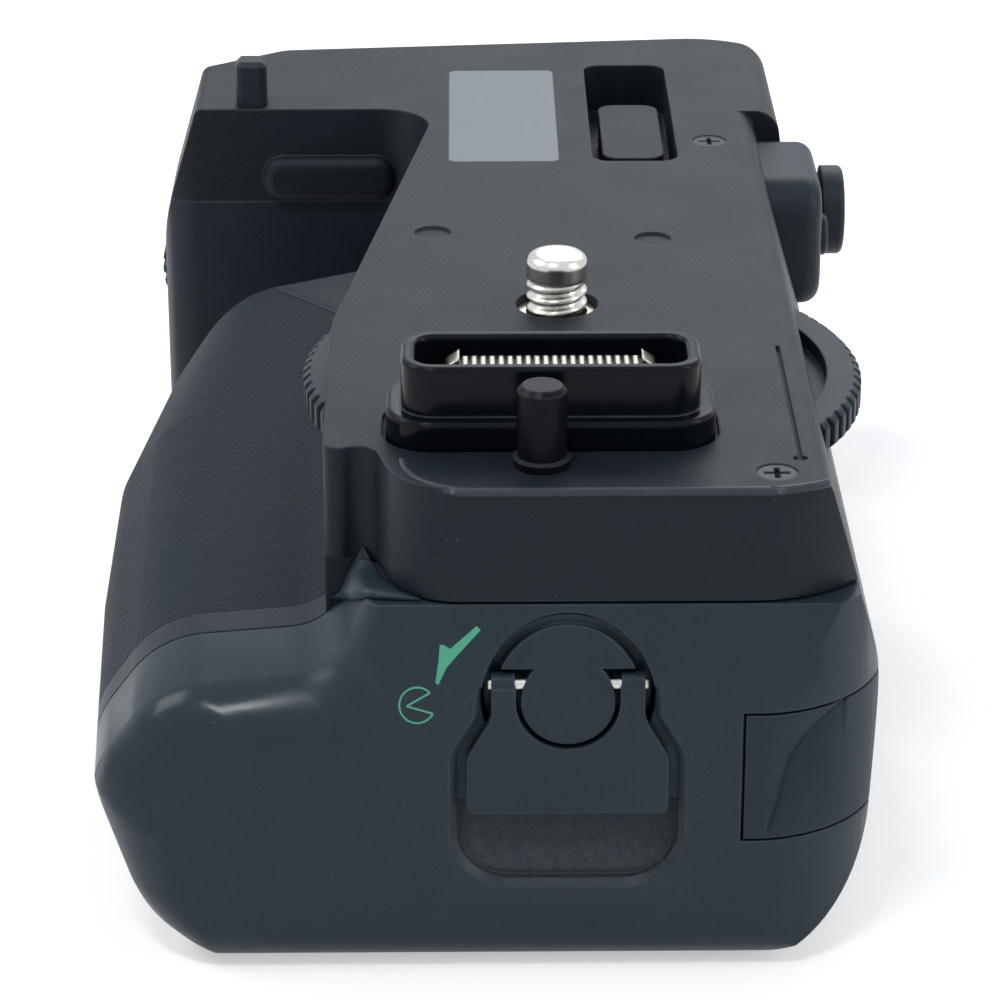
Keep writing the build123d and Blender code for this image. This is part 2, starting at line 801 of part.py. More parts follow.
def chamber_contact_pins():
    return [bar_x(*spring_pin_x, y, sum(contact_block_z) / 2, spring_pin_radius) for y in spring_pin_rows()]


def circuit_board():
    board = between(circuit_x, circuit_y, insert_round, *circuit_z)
    return board - post(wheel_x, wheel_y, circuit_z[0] - overrun, 0, axle_boss_radius + running_gap)


# Fittings on the deck
def label_plate():
    return between(label_x, label_y, label_round, -label_depth, 0)


def connector_shroud():
    shroud = rounded_plate(connector_x, connector_y, flange_size, flange_radius, -recess_depth, flange_top_z)
    shroud = fillet(shroud.edges().group_by(Axis.Z)[-1], rim_round)
    shroud += rounded_plate(connector_x, connector_y, shroud_size, shroud_radius, 0, shroud_top_z)
    shroud -= rounded_plate(connector_x, connector_y, grown(shroud_size, -shroud_wall), shroud_radius - shroud_wall,
                            shroud_floor_z, shroud_top_z + overrun)
    shroud = fillet(shroud.edges().group_by(Axis.Z)[-1], rim_round)
    return shroud - rounded_plate(connector_x, connector_y, insert_size, insert_round,
                                  -recess_depth - overrun, shroud_top_z)


def connector_contacts():
    first = connector_y - (contact_count - 1) / 2 * contact_pitch
    rows = [first + number * contact_pitch for number in range(contact_count)]
    return [block((connector_x - contact_length / 2, y - contact_width / 2, insert_top_z - contact_sink),
                  (connector_x + contact_length / 2, y + contact_width / 2, insert_top_z + contact_rise))
            for y in rows]


def connector_block():
    body = rounded_plate(connector_x, connector_y, insert_size, insert_round, insert_foot_z, insert_top_z)
    for contact in connector_contacts():
        body -= contact
    return body


def connector_board():
    return rounded_plate(connector_x, connector_y, connector_board_size, insert_round,
                         insert_foot_z - board_thickness, insert_foot_z)


def guide_pin():
    pin = chamfer(post(guide_pin_x, guide_pin_y, -pin_seat, guide_pin_rise, guide_pin_radius)
                  .edges().group_by(Axis.Z)[-1], pin_tip)
    return pin + post(guide_pin_x, guide_pin_y, -pin_seat, guide_pin_foot, guide_pin_foot_radius)


def guide_peg():
    peg = rounded_plate(guide_peg_x, guide_peg_y, (guide_peg_size, guide_peg_size), guide_peg_round,
                        -pin_seat, guide_peg_rise)
    return chamfer(peg.edges().group_by(Axis.Z)[-1], pin_tip)


def deck_screws():
    top = -screw_head_sink
    return [post(x, y, top - screw_head_height, top, screw_head_radius)
            + post(x, y, top - screw_head_height - screw_shank_length, top, screw_shank_radius)
            for x, y in deck_screw_places]


def wheel_axle():
    return post(wheel_x, wheel_y, roof_top_z, axle_top_z, axle_radius)


# Rear panel pieces
def rear_control_panel():
    plate = panel_plate(0, *panel_y)
    plate = fillet(plate.edges().group_by(Axis.Y)[-1], panel_edge)
    plate -= panel_plate(panel_wall, panel_y[0] - overrun, panel_y[1] - panel_wall)
    plate -= bar_y(panel_y[0], panel_y[1] + overrun, selector_x, selector_z, selector_hole_radius)
    return plate - bar_y(panel_y[0], panel_y[1] + overrun, af_x, af_z, af_radius + shaft_gap)


def control_board():
    board = panel_plate(panel_wall, *control_board_y)
    board += bar_y(control_board_y[1], selector_post_y, selector_x, selector_z, selector_post_radius)
    board += bar_y(control_board_y[1], dome_top_y, af_x, af_z, dome_radius)
    for x, z in ((1, 0), (-1, 0), (0, 1), (0, -1)):
        board += bar_y(control_board_y[1], dome_top_y, selector_x + x * selector_dome_reach,
                       selector_z + z * selector_dome_reach, selector_dome_radius)
    return board


def selector_rocker():
    return bar_y(*selector_rocker_y, selector_x, selector_z, selector_rocker_radius)


def selector_pad():
    pad = bar_y(*selector_pad_y, selector_x, selector_z, selector_pad_radius)
    pad = fillet(pad.edges().group_by(Axis.Y)[-1], selector_edge)
    dish = bar_y(selector_pad_y[1] - selector_dish_depth, selector_pad_y[1] + overrun, selector_x, selector_z,
                 selector_dish)
    pad -= chamfer(dish.edges().group_by(Axis.Y)[0], selector_edge)
    return pad + bar_y(selector_stem_y, selector_pad_y[0], selector_x, selector_z, selector_stem_radius)


def af_button():
    cap = fillet(bar_y(*af_y, af_x, af_z, af_radius).edges().group_by(Axis.Y)[-1], af_edge)
    return cap + bar_y(af_y[0], af_y[0] + af_flange, af_x, af_z, af_flange_radius)


# Command dials
def dial(x, y, z, radius, width):
    """Ribbed dial with a bore for its axle."""
    wheel = along_x(knurled_face(radius, dial_rib_depth, dial_ribs), x - width / 2, x + width / 2)
    wheel &= chamfer(bar_x(x - width / 2, x + width / 2, 0, 0, radius).edges().filter_by(GeomType.CIRCLE),
                     dial_rib_depth)
    wheel -= bar_x(x - width, x + width, 0, 0, dial_axle_radius + shaft_gap)
    return Pos(0, y, z) * wheel


def main_dial():
    return dial(main_dial_x, main_dial_y, main_dial_z, main_dial_radius, main_dial_width)


def sub_dial():
    return dial(sub_dial_x, sub_dial_y, sub_dial_z, sub_dial_radius, sub_dial_width)


# Shutter release and its lock ring, on the horn's bevel
def shutter_button():
    head = turned(shutter_head_radius, shutter_head_foot, shutter_head_top)
    outward = Axis(shutter_plane().origin, shutter_plane().z_dir)
    head = fillet(head.edges().group_by(outward)[-1], shutter_head_round)
    low = -shutter_boss_depth - running_gap - shutter_clip
    stem = turned(shutter_stem_radius, low, shutter_head_foot)
    return head + stem + turned(shutter_clip_radius, low, low + shutter_clip)


def shutter_lock_ring():
    low = running_gap - shutter_ring_sink
    ring = turned(shutter_ring_radius, low, shutter_ring_top)
    lever = Pos(0, 0, running_gap) * extrude(
        Pos(0, shutter_lever_reach / 2) * RectangleRounded(shutter_lever_width, shutter_lever_reach,
                                                           running_gap), shutter_ring_top - running_gap,
        dir=(0, 0, 1))
    ring += shutter_plane() * lever
    return ring - turned(shutter_bore_radius, low - overrun, shutter_ring_top + overrun)


# Battery holder with its end cap
holder_wall = 1.8
bay_far_x = -33.5
bay_near_x = 23.5
cap_back_x = 36.3
thumb_cut_radius = 7.0
cable_y = (17.0, 21.7)
cable_z = (-33.0, -26.5)
pad_width = 2.4
pad_height = 5.0
pad_x = (-36.3, -33.2)
cap_face = 2.6
cap_screw_places = ((-16.0, -24.0), (-16.0, -39.0), (10.5, -25.5), (10.5, -40.0))
cap_screw_end_x = 43.0
cap_boss_radius = 3.2
bolt_radius = 1.5
bolt_tube_radius = 4.2
bolt_end_x = 46.0
knob_radius = 7.9
knob_floor_x = 44.6
knob_disc_x = 47.2
knob_raised_x = 49.4
knob_raised_radius = 7.0
knob_boss_x = 49.8
knob_boss_radius = 4.4
knob_sink = 0.25
knob_raised_z = -17.6
well_radius = 8.2
well_wall = 2.0
flap_hinge_x = 48.7
flap_hinge_z = -19.3
flap_x = (49.0, 50.0)
flap_neck_y = 7.2
flap_neck_z = -22.4
flap_flare_y = 9.5
flap_flare_z = -26.4
flap_end_z = -32.4
flap_neck_radius = 3.0
flap_end_radius = 0.8
flap_eye_radius = 1.15
flap_eye_y = (5.0, 7.2)
flap_notch_radius = 4.9
flap_gap = 1.0
flap_rim = 0.7
flap_pin_radius = 0.6
flap_pin_y = (3.0, 7.5)
scoop_end_z = -39.6
scoop_x = (46.4, 49.3)
scoop_radius = 5.2
dc_x = 38.8
dc_y = 16.7
dc_z = (-35.1, -22.1)
dc_thickness = 1.7
dc_wall = 2.2
cap_skin = cap_form(handle_form(knob_sink), knob_sink)
dc_skin = cap_form(handle_form(dc_thickness), dc_thickness)
dc_seat = cap_form(handle_form(dc_thickness + running_gap), dc_thickness + running_gap)


def holder_contacts():
    middle = sum(contact_block_z) / 2
    return [block((pad_x[0], y - pad_width / 2, middle - pad_height / 2),
                  (pad_x[1], y + pad_width / 2, middle + pad_height / 2)) for y in spring_pin_rows()]


def cap_screws():
    return [bar_x(bay_near_x, bay_near_x + screw_head_height, y, z, screw_head_radius)
            + bar_x(bay_near_x, cap_screw_end_x, y, z, screw_shank_radius)
            for y, z in cap_screw_places]


def battery_holder():
    tray = block((holder_far_x, -holder_half_y, holder_bottom_z), (cap_back_x, holder_half_y, holder_top_z))
    floor_z = holder_bottom_z + holder_wall
    half_y = holder_half_y - holder_wall
    tray -= block((bay_far_x, -half_y, floor_z), (bay_near_x, half_y, holder_top_z + overrun))
    tray -= block((bay_near_x - overrun, cable_y[0], cable_z[0]), (cap_back_x + overrun, cable_y[1] + overrun, cable_z[1]))
    tray -= bar_y(-holder_half_y - overrun, holder_half_y + overrun, (bay_far_x + bay_near_x) / 2, holder_top_z,
                  thumb_cut_radius)
    tray -= bar_x(tongue_far_x - running_gap, tongue_near_x + running_gap, 0, knob_z, tongue_sweep)
    tray -= bar_x(tongue_near_x, cap_back_x + overrun, 0, knob_z, bolt_radius + shaft_gap)
    for piece in holder_contacts() + cap_screws():
        tray -= piece
    return tray


def flap_outline(gap, low_z):
    """Bell-shaped outline in Y and Z, grown by a gap, from the hinge down to a low end."""
    half = [
        (flap_neck_y + gap, flap_hinge_z, 0),
        (flap_neck_y + gap, flap_neck_z, flap_neck_radius),
        (flap_flare_y + gap, flap_flare_z, flap_neck_radius),
        (flap_flare_y + gap, low_z, scoop_radius if gap else flap_end_radius),
    ]
    return face_through(half + [(-y, z, radius) for y, z, radius in reversed(half)])


def end_cap():
    zone = block((cap_back_x, handle_widest_y, -grip_height), (cap_end_x, rear_belly_y, seam_z - running_gap))
    solid = cap_out & zone
    cap = solid - (cap_in & block((cap_back_x - overrun, handle_widest_y, -grip_height),
                                     (cap_end_x - cap_face, rear_belly_y, seam_z)))
    well_back_x = knob_floor_x - running_gap - well_wall
    fittings = [
        bar_x(well_back_x, cap_end_x, 0, knob_z, well_radius + well_wall),
        bar_x(cap_back_x, well_back_x, 0, knob_z, bolt_tube_radius),
        block((well_back_x + well_wall, -flap_flare_y - flap_gap - well_wall, scoop_end_z - well_wall),
              (cap_end_x, flap_flare_y + flap_gap + well_wall, knob_z)),
        block((cap_back_x, cable_y[0] - dc_wall, dc_z[0] - dc_wall), (cap_end_x, rear_belly_y, dc_z[1] + dc_wall)),
    ]
    fittings += [bar_x(cap_back_x, cap_end_x, y, z, cap_boss_radius) for y, z in cap_screw_places]
    for fitting in fittings:
        cap += fitting & solid
    scoop = Plane.XZ * face_through([
        (scoop_x[0], flap_end_z + flap_gap, 0), (scoop_x[1], scoop_end_z, 0),
        (cap_end_x + overrun, scoop_end_z, 0), (cap_end_x + overrun, flap_end_z + flap_gap, 0)])
    width = flap_flare_y + flap_gap
    scoop = Pos(0, -width, 0) * extrude(scoop, 2 * width, dir=(0, 1, 0))
    bell = flap_outline(flap_gap, scoop_end_z)
    rim = Pos(cap_end_x - flap_rim, 0, 0) * extrude(Plane.YZ * bell, flap_rim, dir=(1, 0, 0), taper=-45)
    cuts = [
        bar_x(knob_floor_x - running_gap, cap_end_x + overrun, 0, knob_z, well_radius),
        rim,
        along_x(bell, flap_x[0] - running_gap, cap_end_x + overrun),
        scoop & along_x(bell, scoop_x[0], cap_end_x + overrun),
        bar_x(cap_back_x - overrun, knob_floor_x, 0, knob_z, bolt_radius + shaft_gap),
        block((cap_back_x - overrun, cable_y[0], cable_z[0]), (cap_end_x + overrun, cable_y[1], cable_z[1])),
        block((dc_x - running_gap, dc_y - running_gap, dc_z[0] - running_gap),
              (cap_end_x + overrun, rear_belly_y + overrun, dc_z[1] + running_gap)) - dc_seat,
    ]
    for cut in cuts + cap_screws():
        cap -= cut
    return cap


def dc_cover():
    return (cap_out - dc_skin) & block((dc_x, dc_y, dc_z[0]), (cap_end_x, rear_belly_y, dc_z[1]))


# Keyhole latch: knob, bolt with its tongue, flap and pins
def latch_knob():
    knob = bar_x(knob_floor_x, knob_disc_x, 0, knob_z, knob_radius)
    knob += bar_x(knob_floor_x, knob_raised_x, 0, knob_z, knob_raised_radius) & block(
        (knob_floor_x, -knob_radius, knob_raised_z), (knob_raised_x, knob_radius, seam_z))
    knob += bar_x(knob_floor_x, knob_boss_x, 0, knob_z, knob_boss_radius)
    knob &= cap_skin
    knob -= bar_x(knob_floor_x - overrun, bolt_end_x, 0, knob_z, bolt_radius)
    for pin in flap_pins():
        knob -= pin
    return knob


def latch_bolt():
    tongue = block((tongue_far_x, -tongue_reach, knob_z - tongue_half_width),
                   (tongue_near_x, tongue_reach, knob_z + tongue_half_width))
    tongue &= bar_x(tongue_far_x, tongue_near_x, 0, knob_z, tongue_reach)
    return tongue + bar_x(tongue_far_x, bolt_end_x, 0, knob_z, bolt_radius)


def flap_pins():
    return [bar_y(*sorted((side * flap_pin_y[0], side * flap_pin_y[1])), flap_hinge_x, flap_hinge_z, flap_pin_radius)
            for side in (-1, 1)]


def latch_flap():
    flap = along_x(flap_outline(0, flap_end_z), *flap_x)
    flap -= bar_x(knob_floor_x, cap_end_x, 0, knob_z, flap_notch_radius)
    flap -= block((knob_floor_x, -flap_notch_radius, knob_z), (cap_end_x, flap_notch_radius, seam_z))
    for side in (-1, 1):
        ends = sorted((side * flap_eye_y[0], side * flap_eye_y[1]))
        flap += bar_y(*ends, flap_hinge_x, flap_hinge_z, flap_eye_radius)
    return flap - bar_y(-cap_end_x, cap_end_x, flap_hinge_x, flap_hinge_z, flap_pin_radius + shaft_gap)


def dial_axles():
    return dial_axle_bars(dial_axle_radius)


pieces = {
    "top_casing": top_casing(),
    "main_casing": main_casing(),
    "handle_rubber": handle_cover,
    "thumb_rubber": thumb_cover,
    "base_plate": base_plate(),
    "base_screws": base_screws(),
    "tripod_bush": tripod_bush(),
    "label_plate": label_plate(),
    "deck_screws": deck_screws(),
    "connector_shroud": connector_shroud(),
    "connector_block": connector_block(),
    "connector_contacts": connector_contacts(),
    "connector_board": connector_board(),
    "guide_pin": guide_pin(),
    "guide_peg": guide_peg(),
    "wheel_axle": wheel_axle(),
    "circuit_board": circuit_board(),
    "chamber_contact_block": battery_chamber_contact_block(),
    "chamber_contact_pins": chamber_contact_pins(),
    "rear_control_panel": rear_control_panel(),
    "control_board": control_board(),
    "dial_axles": dial_axles(),
    "attachment_screw": attachment_screw(),
    "attachment_wheel": attachment_wheel(),
    "battery_holder": battery_holder(),
    "holder_contacts": holder_contacts(),
    "cap_screws": cap_screws(),
    "end_cap": end_cap(),
    "latch_knob": latch_knob(),
    "latch_bolt": latch_bolt(),
    "flap_pins": flap_pins(),
    "latch_flap": latch_flap(),
    "dc_cover": dc_cover(),
    "shutter_button": shutter_button(),
    "shutter_lock_ring": shutter_lock_ring(),
    "main_dial": main_dial(),
    "sub_dial": sub_dial(),
    "af_button": af_button(),
    "selector_rocker": selector_rocker(),
    "selector_pad": selector_pad(),
}

os.makedirs("parts", exist_ok=True)
for name, piece in pieces.items():
    export_step(Compound(children=piece) if isinstance(piece, list) else piece, f"parts/{name}.step")
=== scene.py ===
import math
import bmesh
import bpy
from mathutils import Matrix, Vector
from mathutils.bvhtree import BVHTree


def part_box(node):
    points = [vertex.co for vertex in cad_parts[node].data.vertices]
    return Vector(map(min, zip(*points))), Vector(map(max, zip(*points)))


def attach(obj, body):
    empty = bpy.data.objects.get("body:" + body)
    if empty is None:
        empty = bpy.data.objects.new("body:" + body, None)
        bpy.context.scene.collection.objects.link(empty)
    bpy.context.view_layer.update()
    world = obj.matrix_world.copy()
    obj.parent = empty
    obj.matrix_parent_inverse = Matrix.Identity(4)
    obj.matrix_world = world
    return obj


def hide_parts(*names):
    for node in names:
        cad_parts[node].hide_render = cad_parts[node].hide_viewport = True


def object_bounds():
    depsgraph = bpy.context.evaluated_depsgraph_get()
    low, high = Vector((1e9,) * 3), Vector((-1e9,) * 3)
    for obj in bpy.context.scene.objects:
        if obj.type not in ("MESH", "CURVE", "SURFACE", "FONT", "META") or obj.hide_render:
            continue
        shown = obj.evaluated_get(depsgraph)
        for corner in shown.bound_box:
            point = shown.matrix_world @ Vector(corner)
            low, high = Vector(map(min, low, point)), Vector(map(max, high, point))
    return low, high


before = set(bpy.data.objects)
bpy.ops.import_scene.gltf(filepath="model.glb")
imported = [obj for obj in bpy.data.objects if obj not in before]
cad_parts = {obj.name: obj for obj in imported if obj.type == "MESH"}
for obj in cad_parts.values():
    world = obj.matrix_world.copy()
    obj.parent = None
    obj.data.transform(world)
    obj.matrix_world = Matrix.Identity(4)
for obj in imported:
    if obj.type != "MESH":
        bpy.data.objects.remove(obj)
cad_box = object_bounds()

# Studio: a long lens looks down 24 degrees on the battery end, with the deck running away from it, over a
# white floor in a white room. The camera's place comes from the deck's edges and the screw's size.
mm = 0.001
camera_place = Vector((367.8, -9.8, 141.6)) * mm
camera_pitch = math.radians(24.0)
picture_middle = 500
focal_pixels = 3818.3
middle_offset_pixels = 45
camera_turn = math.atan(middle_offset_pixels * math.cos(camera_pitch) / focal_pixels)
sensor_width = 36.0
nearest_seen = 0.01
forward = Vector((-math.cos(camera_pitch) * math.cos(camera_turn),
                  math.cos(camera_pitch) * math.sin(camera_turn), -math.sin(camera_pitch)))
rightward = forward.cross(Vector((0, 0, 1))).normalized()
upward = rightward.cross(forward)
camera = bpy.data.objects.new("camera", bpy.data.cameras.new("camera"))
camera.data.lens = focal_pixels / (2 * picture_middle) * sensor_width
camera.data.sensor_width = sensor_width
camera.data.clip_start = nearest_seen
camera.matrix_world = (Matrix.Translation(camera_place)
                       @ Matrix((rightward, upward, -forward)).transposed().to_4x4())
bpy.context.scene.collection.objects.link(camera)
bpy.context.scene.camera = camera
bpy.context.scene.view_settings.view_transform = "Standard"


def wired(tree, kind, sockets=None, **settings):
    """New node with its settings, its values and the sockets that feed it."""
    node = tree.nodes.new(kind)
    for name, value in settings.items():
        setattr(node, name, value)
    for name, value in (sockets or {}).items():
        if isinstance(value, bpy.types.NodeSocket):
            tree.links.new(value, node.inputs[name])
        else:
            node.inputs[name].default_value = value
    return node


def plain_finish(name, colour, roughness, metallic=0.0, specular=0.5):
    """Material with one Principled shader at plain values."""
    material = bpy.data.materials.new(name)
    material.use_nodes = True
    principled = material.node_tree.nodes["Principled BSDF"]
    principled.inputs["Base Color"].default_value = (*colour, 1)
    principled.inputs["Roughness"].default_value = roughness
    principled.inputs["Metallic"].default_value = metallic
    principled.inputs["Specular IOR Level"].default_value = specular
    return material, material.node_tree, principled


def background_rays(tree):
    """One for a ray that meets the background from the camera, off a glossy face or through glass."""
    ray = wired(tree, "ShaderNodeLightPath").outputs
    shiny = wired(tree, "ShaderNodeMath", {0: ray["Is Glossy Ray"], 1: ray["Is Transmission Ray"]},
                  operation="MAXIMUM")
    either = wired(tree, "ShaderNodeMath", {0: ray["Is Camera Ray"], 1: shiny.outputs[0]},
                   operation="MAXIMUM")
    return either.outputs[0]


def shown(name, mesh):
    """Object at the origin that shows a mesh."""
    piece = bpy.data.objects.new(name, mesh)
    bpy.context.scene.collection.objects.link(piece)
    return piece


floor_half = 3.0
floor_lift = 0.45
floor_mesh = bpy.data.meshes.new("floor")
floor_mesh.from_pydata([(x * floor_half, y * floor_half, cad_box[0].z)
                        for x, y in ((-1, -1), (1, -1), (1, 1), (-1, 1))], [], [(0, 1, 2, 3)])
floor = shown("floor", floor_mesh)
floor_white, tree, principled = plain_finish("floor_white", (0.80, 0.80, 0.80), roughness=0.9, specular=0.1)
lift = wired(tree, "ShaderNodeEmission", {"Color": (1, 1, 1, 1), "Strength": floor_lift})
lifted = wired(tree, "ShaderNodeAddShader", {0: principled.outputs[0], 1: lift.outputs[0]})
skin = wired(tree, "ShaderNodeMixShader", {0: background_rays(tree), 1: principled.outputs[0],
                                           2: lifted.outputs[0]})
tree.links.new(skin.outputs[0], tree.nodes["Material Output"].inputs["Surface"])
floor_mesh.materials.append(floor_white)

room_light = 0.40
room_colour = (0.86, 0.94, 1.0, 1)
room = bpy.data.worlds.new("room")
bpy.context.scene.world = room
room.use_nodes = True
tree = room.node_tree
strength = wired(tree, "ShaderNodeMapRange", {"Value": background_rays(tree), "To Min": room_light,
                                              "To Max": 1.0})
tree.nodes["Background"].inputs["Color"].default_value = room_colour
tree.links.new(strength.outputs["Result"], tree.nodes["Background"].inputs["Strength"])


def soft_box(name, place, target, size, watts):
    """Rectangular area lamp that faces a point."""
    lamp = bpy.data.lights.new(name, "AREA")
    lamp.shape = "RECTANGLE"
    lamp.size, lamp.size_y = size
    lamp.energy = watts
    light = shown(name, lamp)
    aim = (Vector(target) - Vector(place)).to_track_quat("-Z", "Y").to_matrix().to_4x4()
    light.matrix_world = Matrix.Translation(place) @ aim


soft_box("back_box", place=(-0.9, 0.30, 0.75), target=(0.0, 0.0, 0.0), size=(0.9, 0.6), watts=4.0)
soft_box("side_box", place=(-0.15, -0.80, 0.80), target=(0.0, 0.0, -0.02), size=(0.6, 0.5), watts=4.5)
soft_box("fill_box", place=(0.25, 0.75, 0.40), target=(0.03, 0.02, -0.02), size=(0.30, 0.60), watts=2.0)
soft_box("window_box", place=(0.28, -0.16, 0.63), target=(0.047, -0.032, -0.022), size=(0.16, 0.05),
         watts=1.2)

# Deck and skirt: one moulding in black glass-filled nylon, spark eroded so that it sparkles a little, with
# paler edges where the camera body has rubbed it. A blank label plate lies in the deck.
edge_rub_radius = 0.35 * mm
# Grey of the paler edges: rub wear, and on the deck's lip a painted highlight.
rub_and_highlight_grey = (0.30, 0.33, 0.36, 1)
cloud_size = 90.0
speck_size = 900.0


def grained_finish(name, colour, roughness, grain=2400.0, depth=0.03, dust=0.0, wear_and_highlight=0.35, specular=0.2):
    """Moulded or sparked surface: fine grain, uneven sheen, a little dust, and paler edges: wear, and on the
    lip a painted highlight.
    """
    material, tree, principled = plain_finish(name, colour, roughness, specular=specular)
    place = wired(tree, "ShaderNodeTexCoord").outputs["Object"]
    spark = wired(tree, "ShaderNodeTexNoise", {"Vector": place, "Scale": grain, "Detail": 3.0,
                                               "Roughness": 0.6})
    cloud = wired(tree, "ShaderNodeTexNoise", {"Vector": place, "Scale": cloud_size, "Detail": 4.0})
    rounded = wired(tree, "ShaderNodeBevel", {"Radius": edge_rub_radius}, samples=4)
    bump = wired(tree, "ShaderNodeBump", {"Height": spark.outputs["Fac"], "Distance": depth * mm,
                                          "Strength": 0.8, "Normal": rounded.outputs[0]})
    tree.links.new(bump.outputs[0], principled.inputs["Normal"])
    flat = wired(tree, "ShaderNodeNewGeometry")
    edge = wired(tree, "ShaderNodeVectorMath", {0: rounded.outputs[0], 1: flat.outputs["Normal"]},
                 operation="DOT_PRODUCT")
    # Paler edges: rub wear, and on the lip a painted highlight along its crown.
    edge_wear_and_highlight = wired(tree, "ShaderNodeMapRange", {"Value": edge.outputs["Value"], "From Min": 0.98,
                                              "From Max": 0.80, "To Min": 0.0, "To Max": wear_and_highlight})
    rubbed = wired(tree, "ShaderNodeMath", {0: edge_wear_and_highlight.outputs["Result"], 1: cloud.outputs["Fac"]},
                   operation="MULTIPLY")
    specks = wired(tree, "ShaderNodeTexVoronoi", {"Vector": place, "Scale": speck_size, "Randomness": 1.0})
    dusty = wired(tree, "ShaderNodeMapRange", {"Value": specks.outputs["Distance"], "From Min": 0.10,
                                               "From Max": 0.02, "To Min": 0.0, "To Max": dust})
    few = wired(tree, "ShaderNodeMapRange", {"Value": cloud.outputs["Fac"], "From Min": 0.50,
                                             "From Max": 0.62})
    sparse = wired(tree, "ShaderNodeMath", {0: dusty.outputs["Result"], 1: few.outputs["Result"]},
                   operation="MULTIPLY")
    pale = wired(tree, "ShaderNodeMath", {0: rubbed.outputs[0], 1: sparse.outputs[0]}, operation="MAXIMUM")
    tone = wired(tree, "ShaderNodeMapRange", {"Value": cloud.outputs["Fac"], "To Min": 0.85,
                                              "To Max": 1.15})
    base = wired(tree, "ShaderNodeVectorMath", {0: colour, "Scale": tone.outputs["Result"]},
                 operation="SCALE")
    mixed = wired(tree, "ShaderNodeMixRGB", {"Fac": pale.outputs[0], "Color1": base.outputs[0],
                                             "Color2": rub_and_highlight_grey})
    tree.links.new(mixed.outputs[0], principled.inputs["Base Color"])
    sheen = wired(tree, "ShaderNodeMapRange", {"Value": cloud.outputs["Fac"], "To Min": roughness - 0.06,
                                               "To Max": roughness + 0.08})
    tree.links.new(sheen.outputs["Result"], principled.inputs["Roughness"])
    return material


def dress(material, *names):
    """Gives CAD nodes a finish."""
    for name in names:
        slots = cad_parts[name].material_slots
        if not slots:
            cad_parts[name].data.materials.append(material)
        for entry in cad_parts[name].material_slots:
            entry.material = material


deck_black = grained_finish("deck_black", (0.009, 0.013, 0.019), roughness=0.48, grain=2600.0, depth=0.05,
                            dust=0.30)
label_grey = grained_finish("label_grey", (0.21, 0.23, 0.25), roughness=0.45, grain=2600.0, depth=0.01)
dress(deck_black, "top_casing")
dress(label_grey, "label_plate")

# Lip of the deck: a thin raised bead moulded along the top edge of the nose, in the deck's own nylon. Its
# crown is painted pale: partly rub wear, partly a painted highlight.


def bead_tree():
    """Geometry Nodes: a rounded bead of a given radius along the edges of a seed mesh."""
    tree = bpy.data.node_groups.new("bead", "GeometryNodeTree")
    tree.interface.new_socket("Path", in_out="INPUT", socket_type="NodeSocketGeometry")
    tree.interface.new_socket("Radius", in_out="INPUT", socket_type="NodeSocketFloat")
    tree.interface.new_socket("Step", in_out="INPUT", socket_type="NodeSocketFloat")
    tree.interface.new_socket("Material", in_out="INPUT", socket_type="NodeSocketMaterial")
    tree.interface.new_socket("Bead", in_out="OUTPUT", socket_type="NodeSocketGeometry")
    given = wired(tree, "NodeGroupInput").outputs
    path = wired(tree, "GeometryNodeMeshToCurve", {"Mesh": given["Path"]})
    path = wired(tree, "GeometryNodeCurveSplineType", {"Curve": path.outputs[0]}, spline_type="CATMULL_ROM")
    path = wired(tree, "GeometryNodeResampleCurve", {"Curve": path.outputs[0], "Length": given["Step"]},
                 mode="LENGTH")
    ring = wired(tree, "GeometryNodeCurvePrimitiveCircle", {"Resolution": 10, "Radius": given["Radius"]})
    skin = wired(tree, "GeometryNodeCurveToMesh", {"Curve": path.outputs[0],
                                                   "Profile Curve": ring.outputs[0], "Fill Caps": True})
    skin = wired(tree, "GeometryNodeRealizeInstances", {"Geometry": skin.outputs[0]})
    skin = wired(tree, "GeometryNodeSetMaterial", {"Geometry": skin.outputs[0],
                                                   "Material": given["Material"]})
    tree.links.new(skin.outputs[0], wired(tree, "NodeGroupOutput").inputs["Bead"])
    return tree


def made_plain(piece):
    """Turns what a piece's modifiers make into its own plain mesh."""
    finished = piece.evaluated_get(bpy.context.evaluated_depsgraph_get())
    piece.data = bpy.data.meshes.new_from_object(finished)
    piece.modifiers.clear()


def grown(tree, name, points, edges=(), **sizes):
    """Runs a Geometry Nodes tree on a seed of points and keeps the plain mesh that it makes."""
    seed = bpy.data.meshes.new(name)
    seed.from_pydata(points, edges, [])
    piece = shown(name, seed)
    growth = piece.modifiers.new("growth", "NODES")
    growth.node_group = tree
    for item in tree.interface.items_tree:
        if item.name in sizes:
            growth[item.identifier] = sizes[item.name]
    made_plain(piece)
    return piece


def in_a_row(count):
    """Edges that join points in a row."""
    return [(number, number + 1) for number in range(count - 1)]


beads = bead_tree()
# Lighter than the deck, with strong edge paling: a painted highlight along the lip's crown, partly wear.
lip_black = grained_finish("lip_black", (0.040, 0.050, 0.060), roughness=0.26, grain=2600.0, depth=0.02,
                           wear_and_highlight=0.8)
lip_radius = 0.45 * mm
lip_step = 0.8 * mm
lip_z = -0.30 * mm
lip_stand = 0.15 * mm
nose_x = 47.2 * mm
nose_left_y = -15.4 * mm
nose_corner = 7.0 * mm
end_corner = 13.0 * mm
end_corner_y = 17.4 * mm
end_corner_turn = 30
corner_steps = 8
lip_path = []
for step in range(corner_steps + 1):
    turn = math.radians(90 * (1 - step / corner_steps))
    lip_path.append(Vector((nose_x - nose_corner * (1 - math.cos(turn)) + lip_stand,
                            nose_left_y + nose_corner * (1 - math.sin(turn)), lip_z)))
for step in range(corner_steps + 1):
    turn = math.radians(end_corner_turn * step / corner_steps)
    lip_path.append(Vector((nose_x - end_corner * (1 - math.cos(turn)) + lip_stand,
                            end_corner_y + end_corner * math.sin(turn), lip_z)))
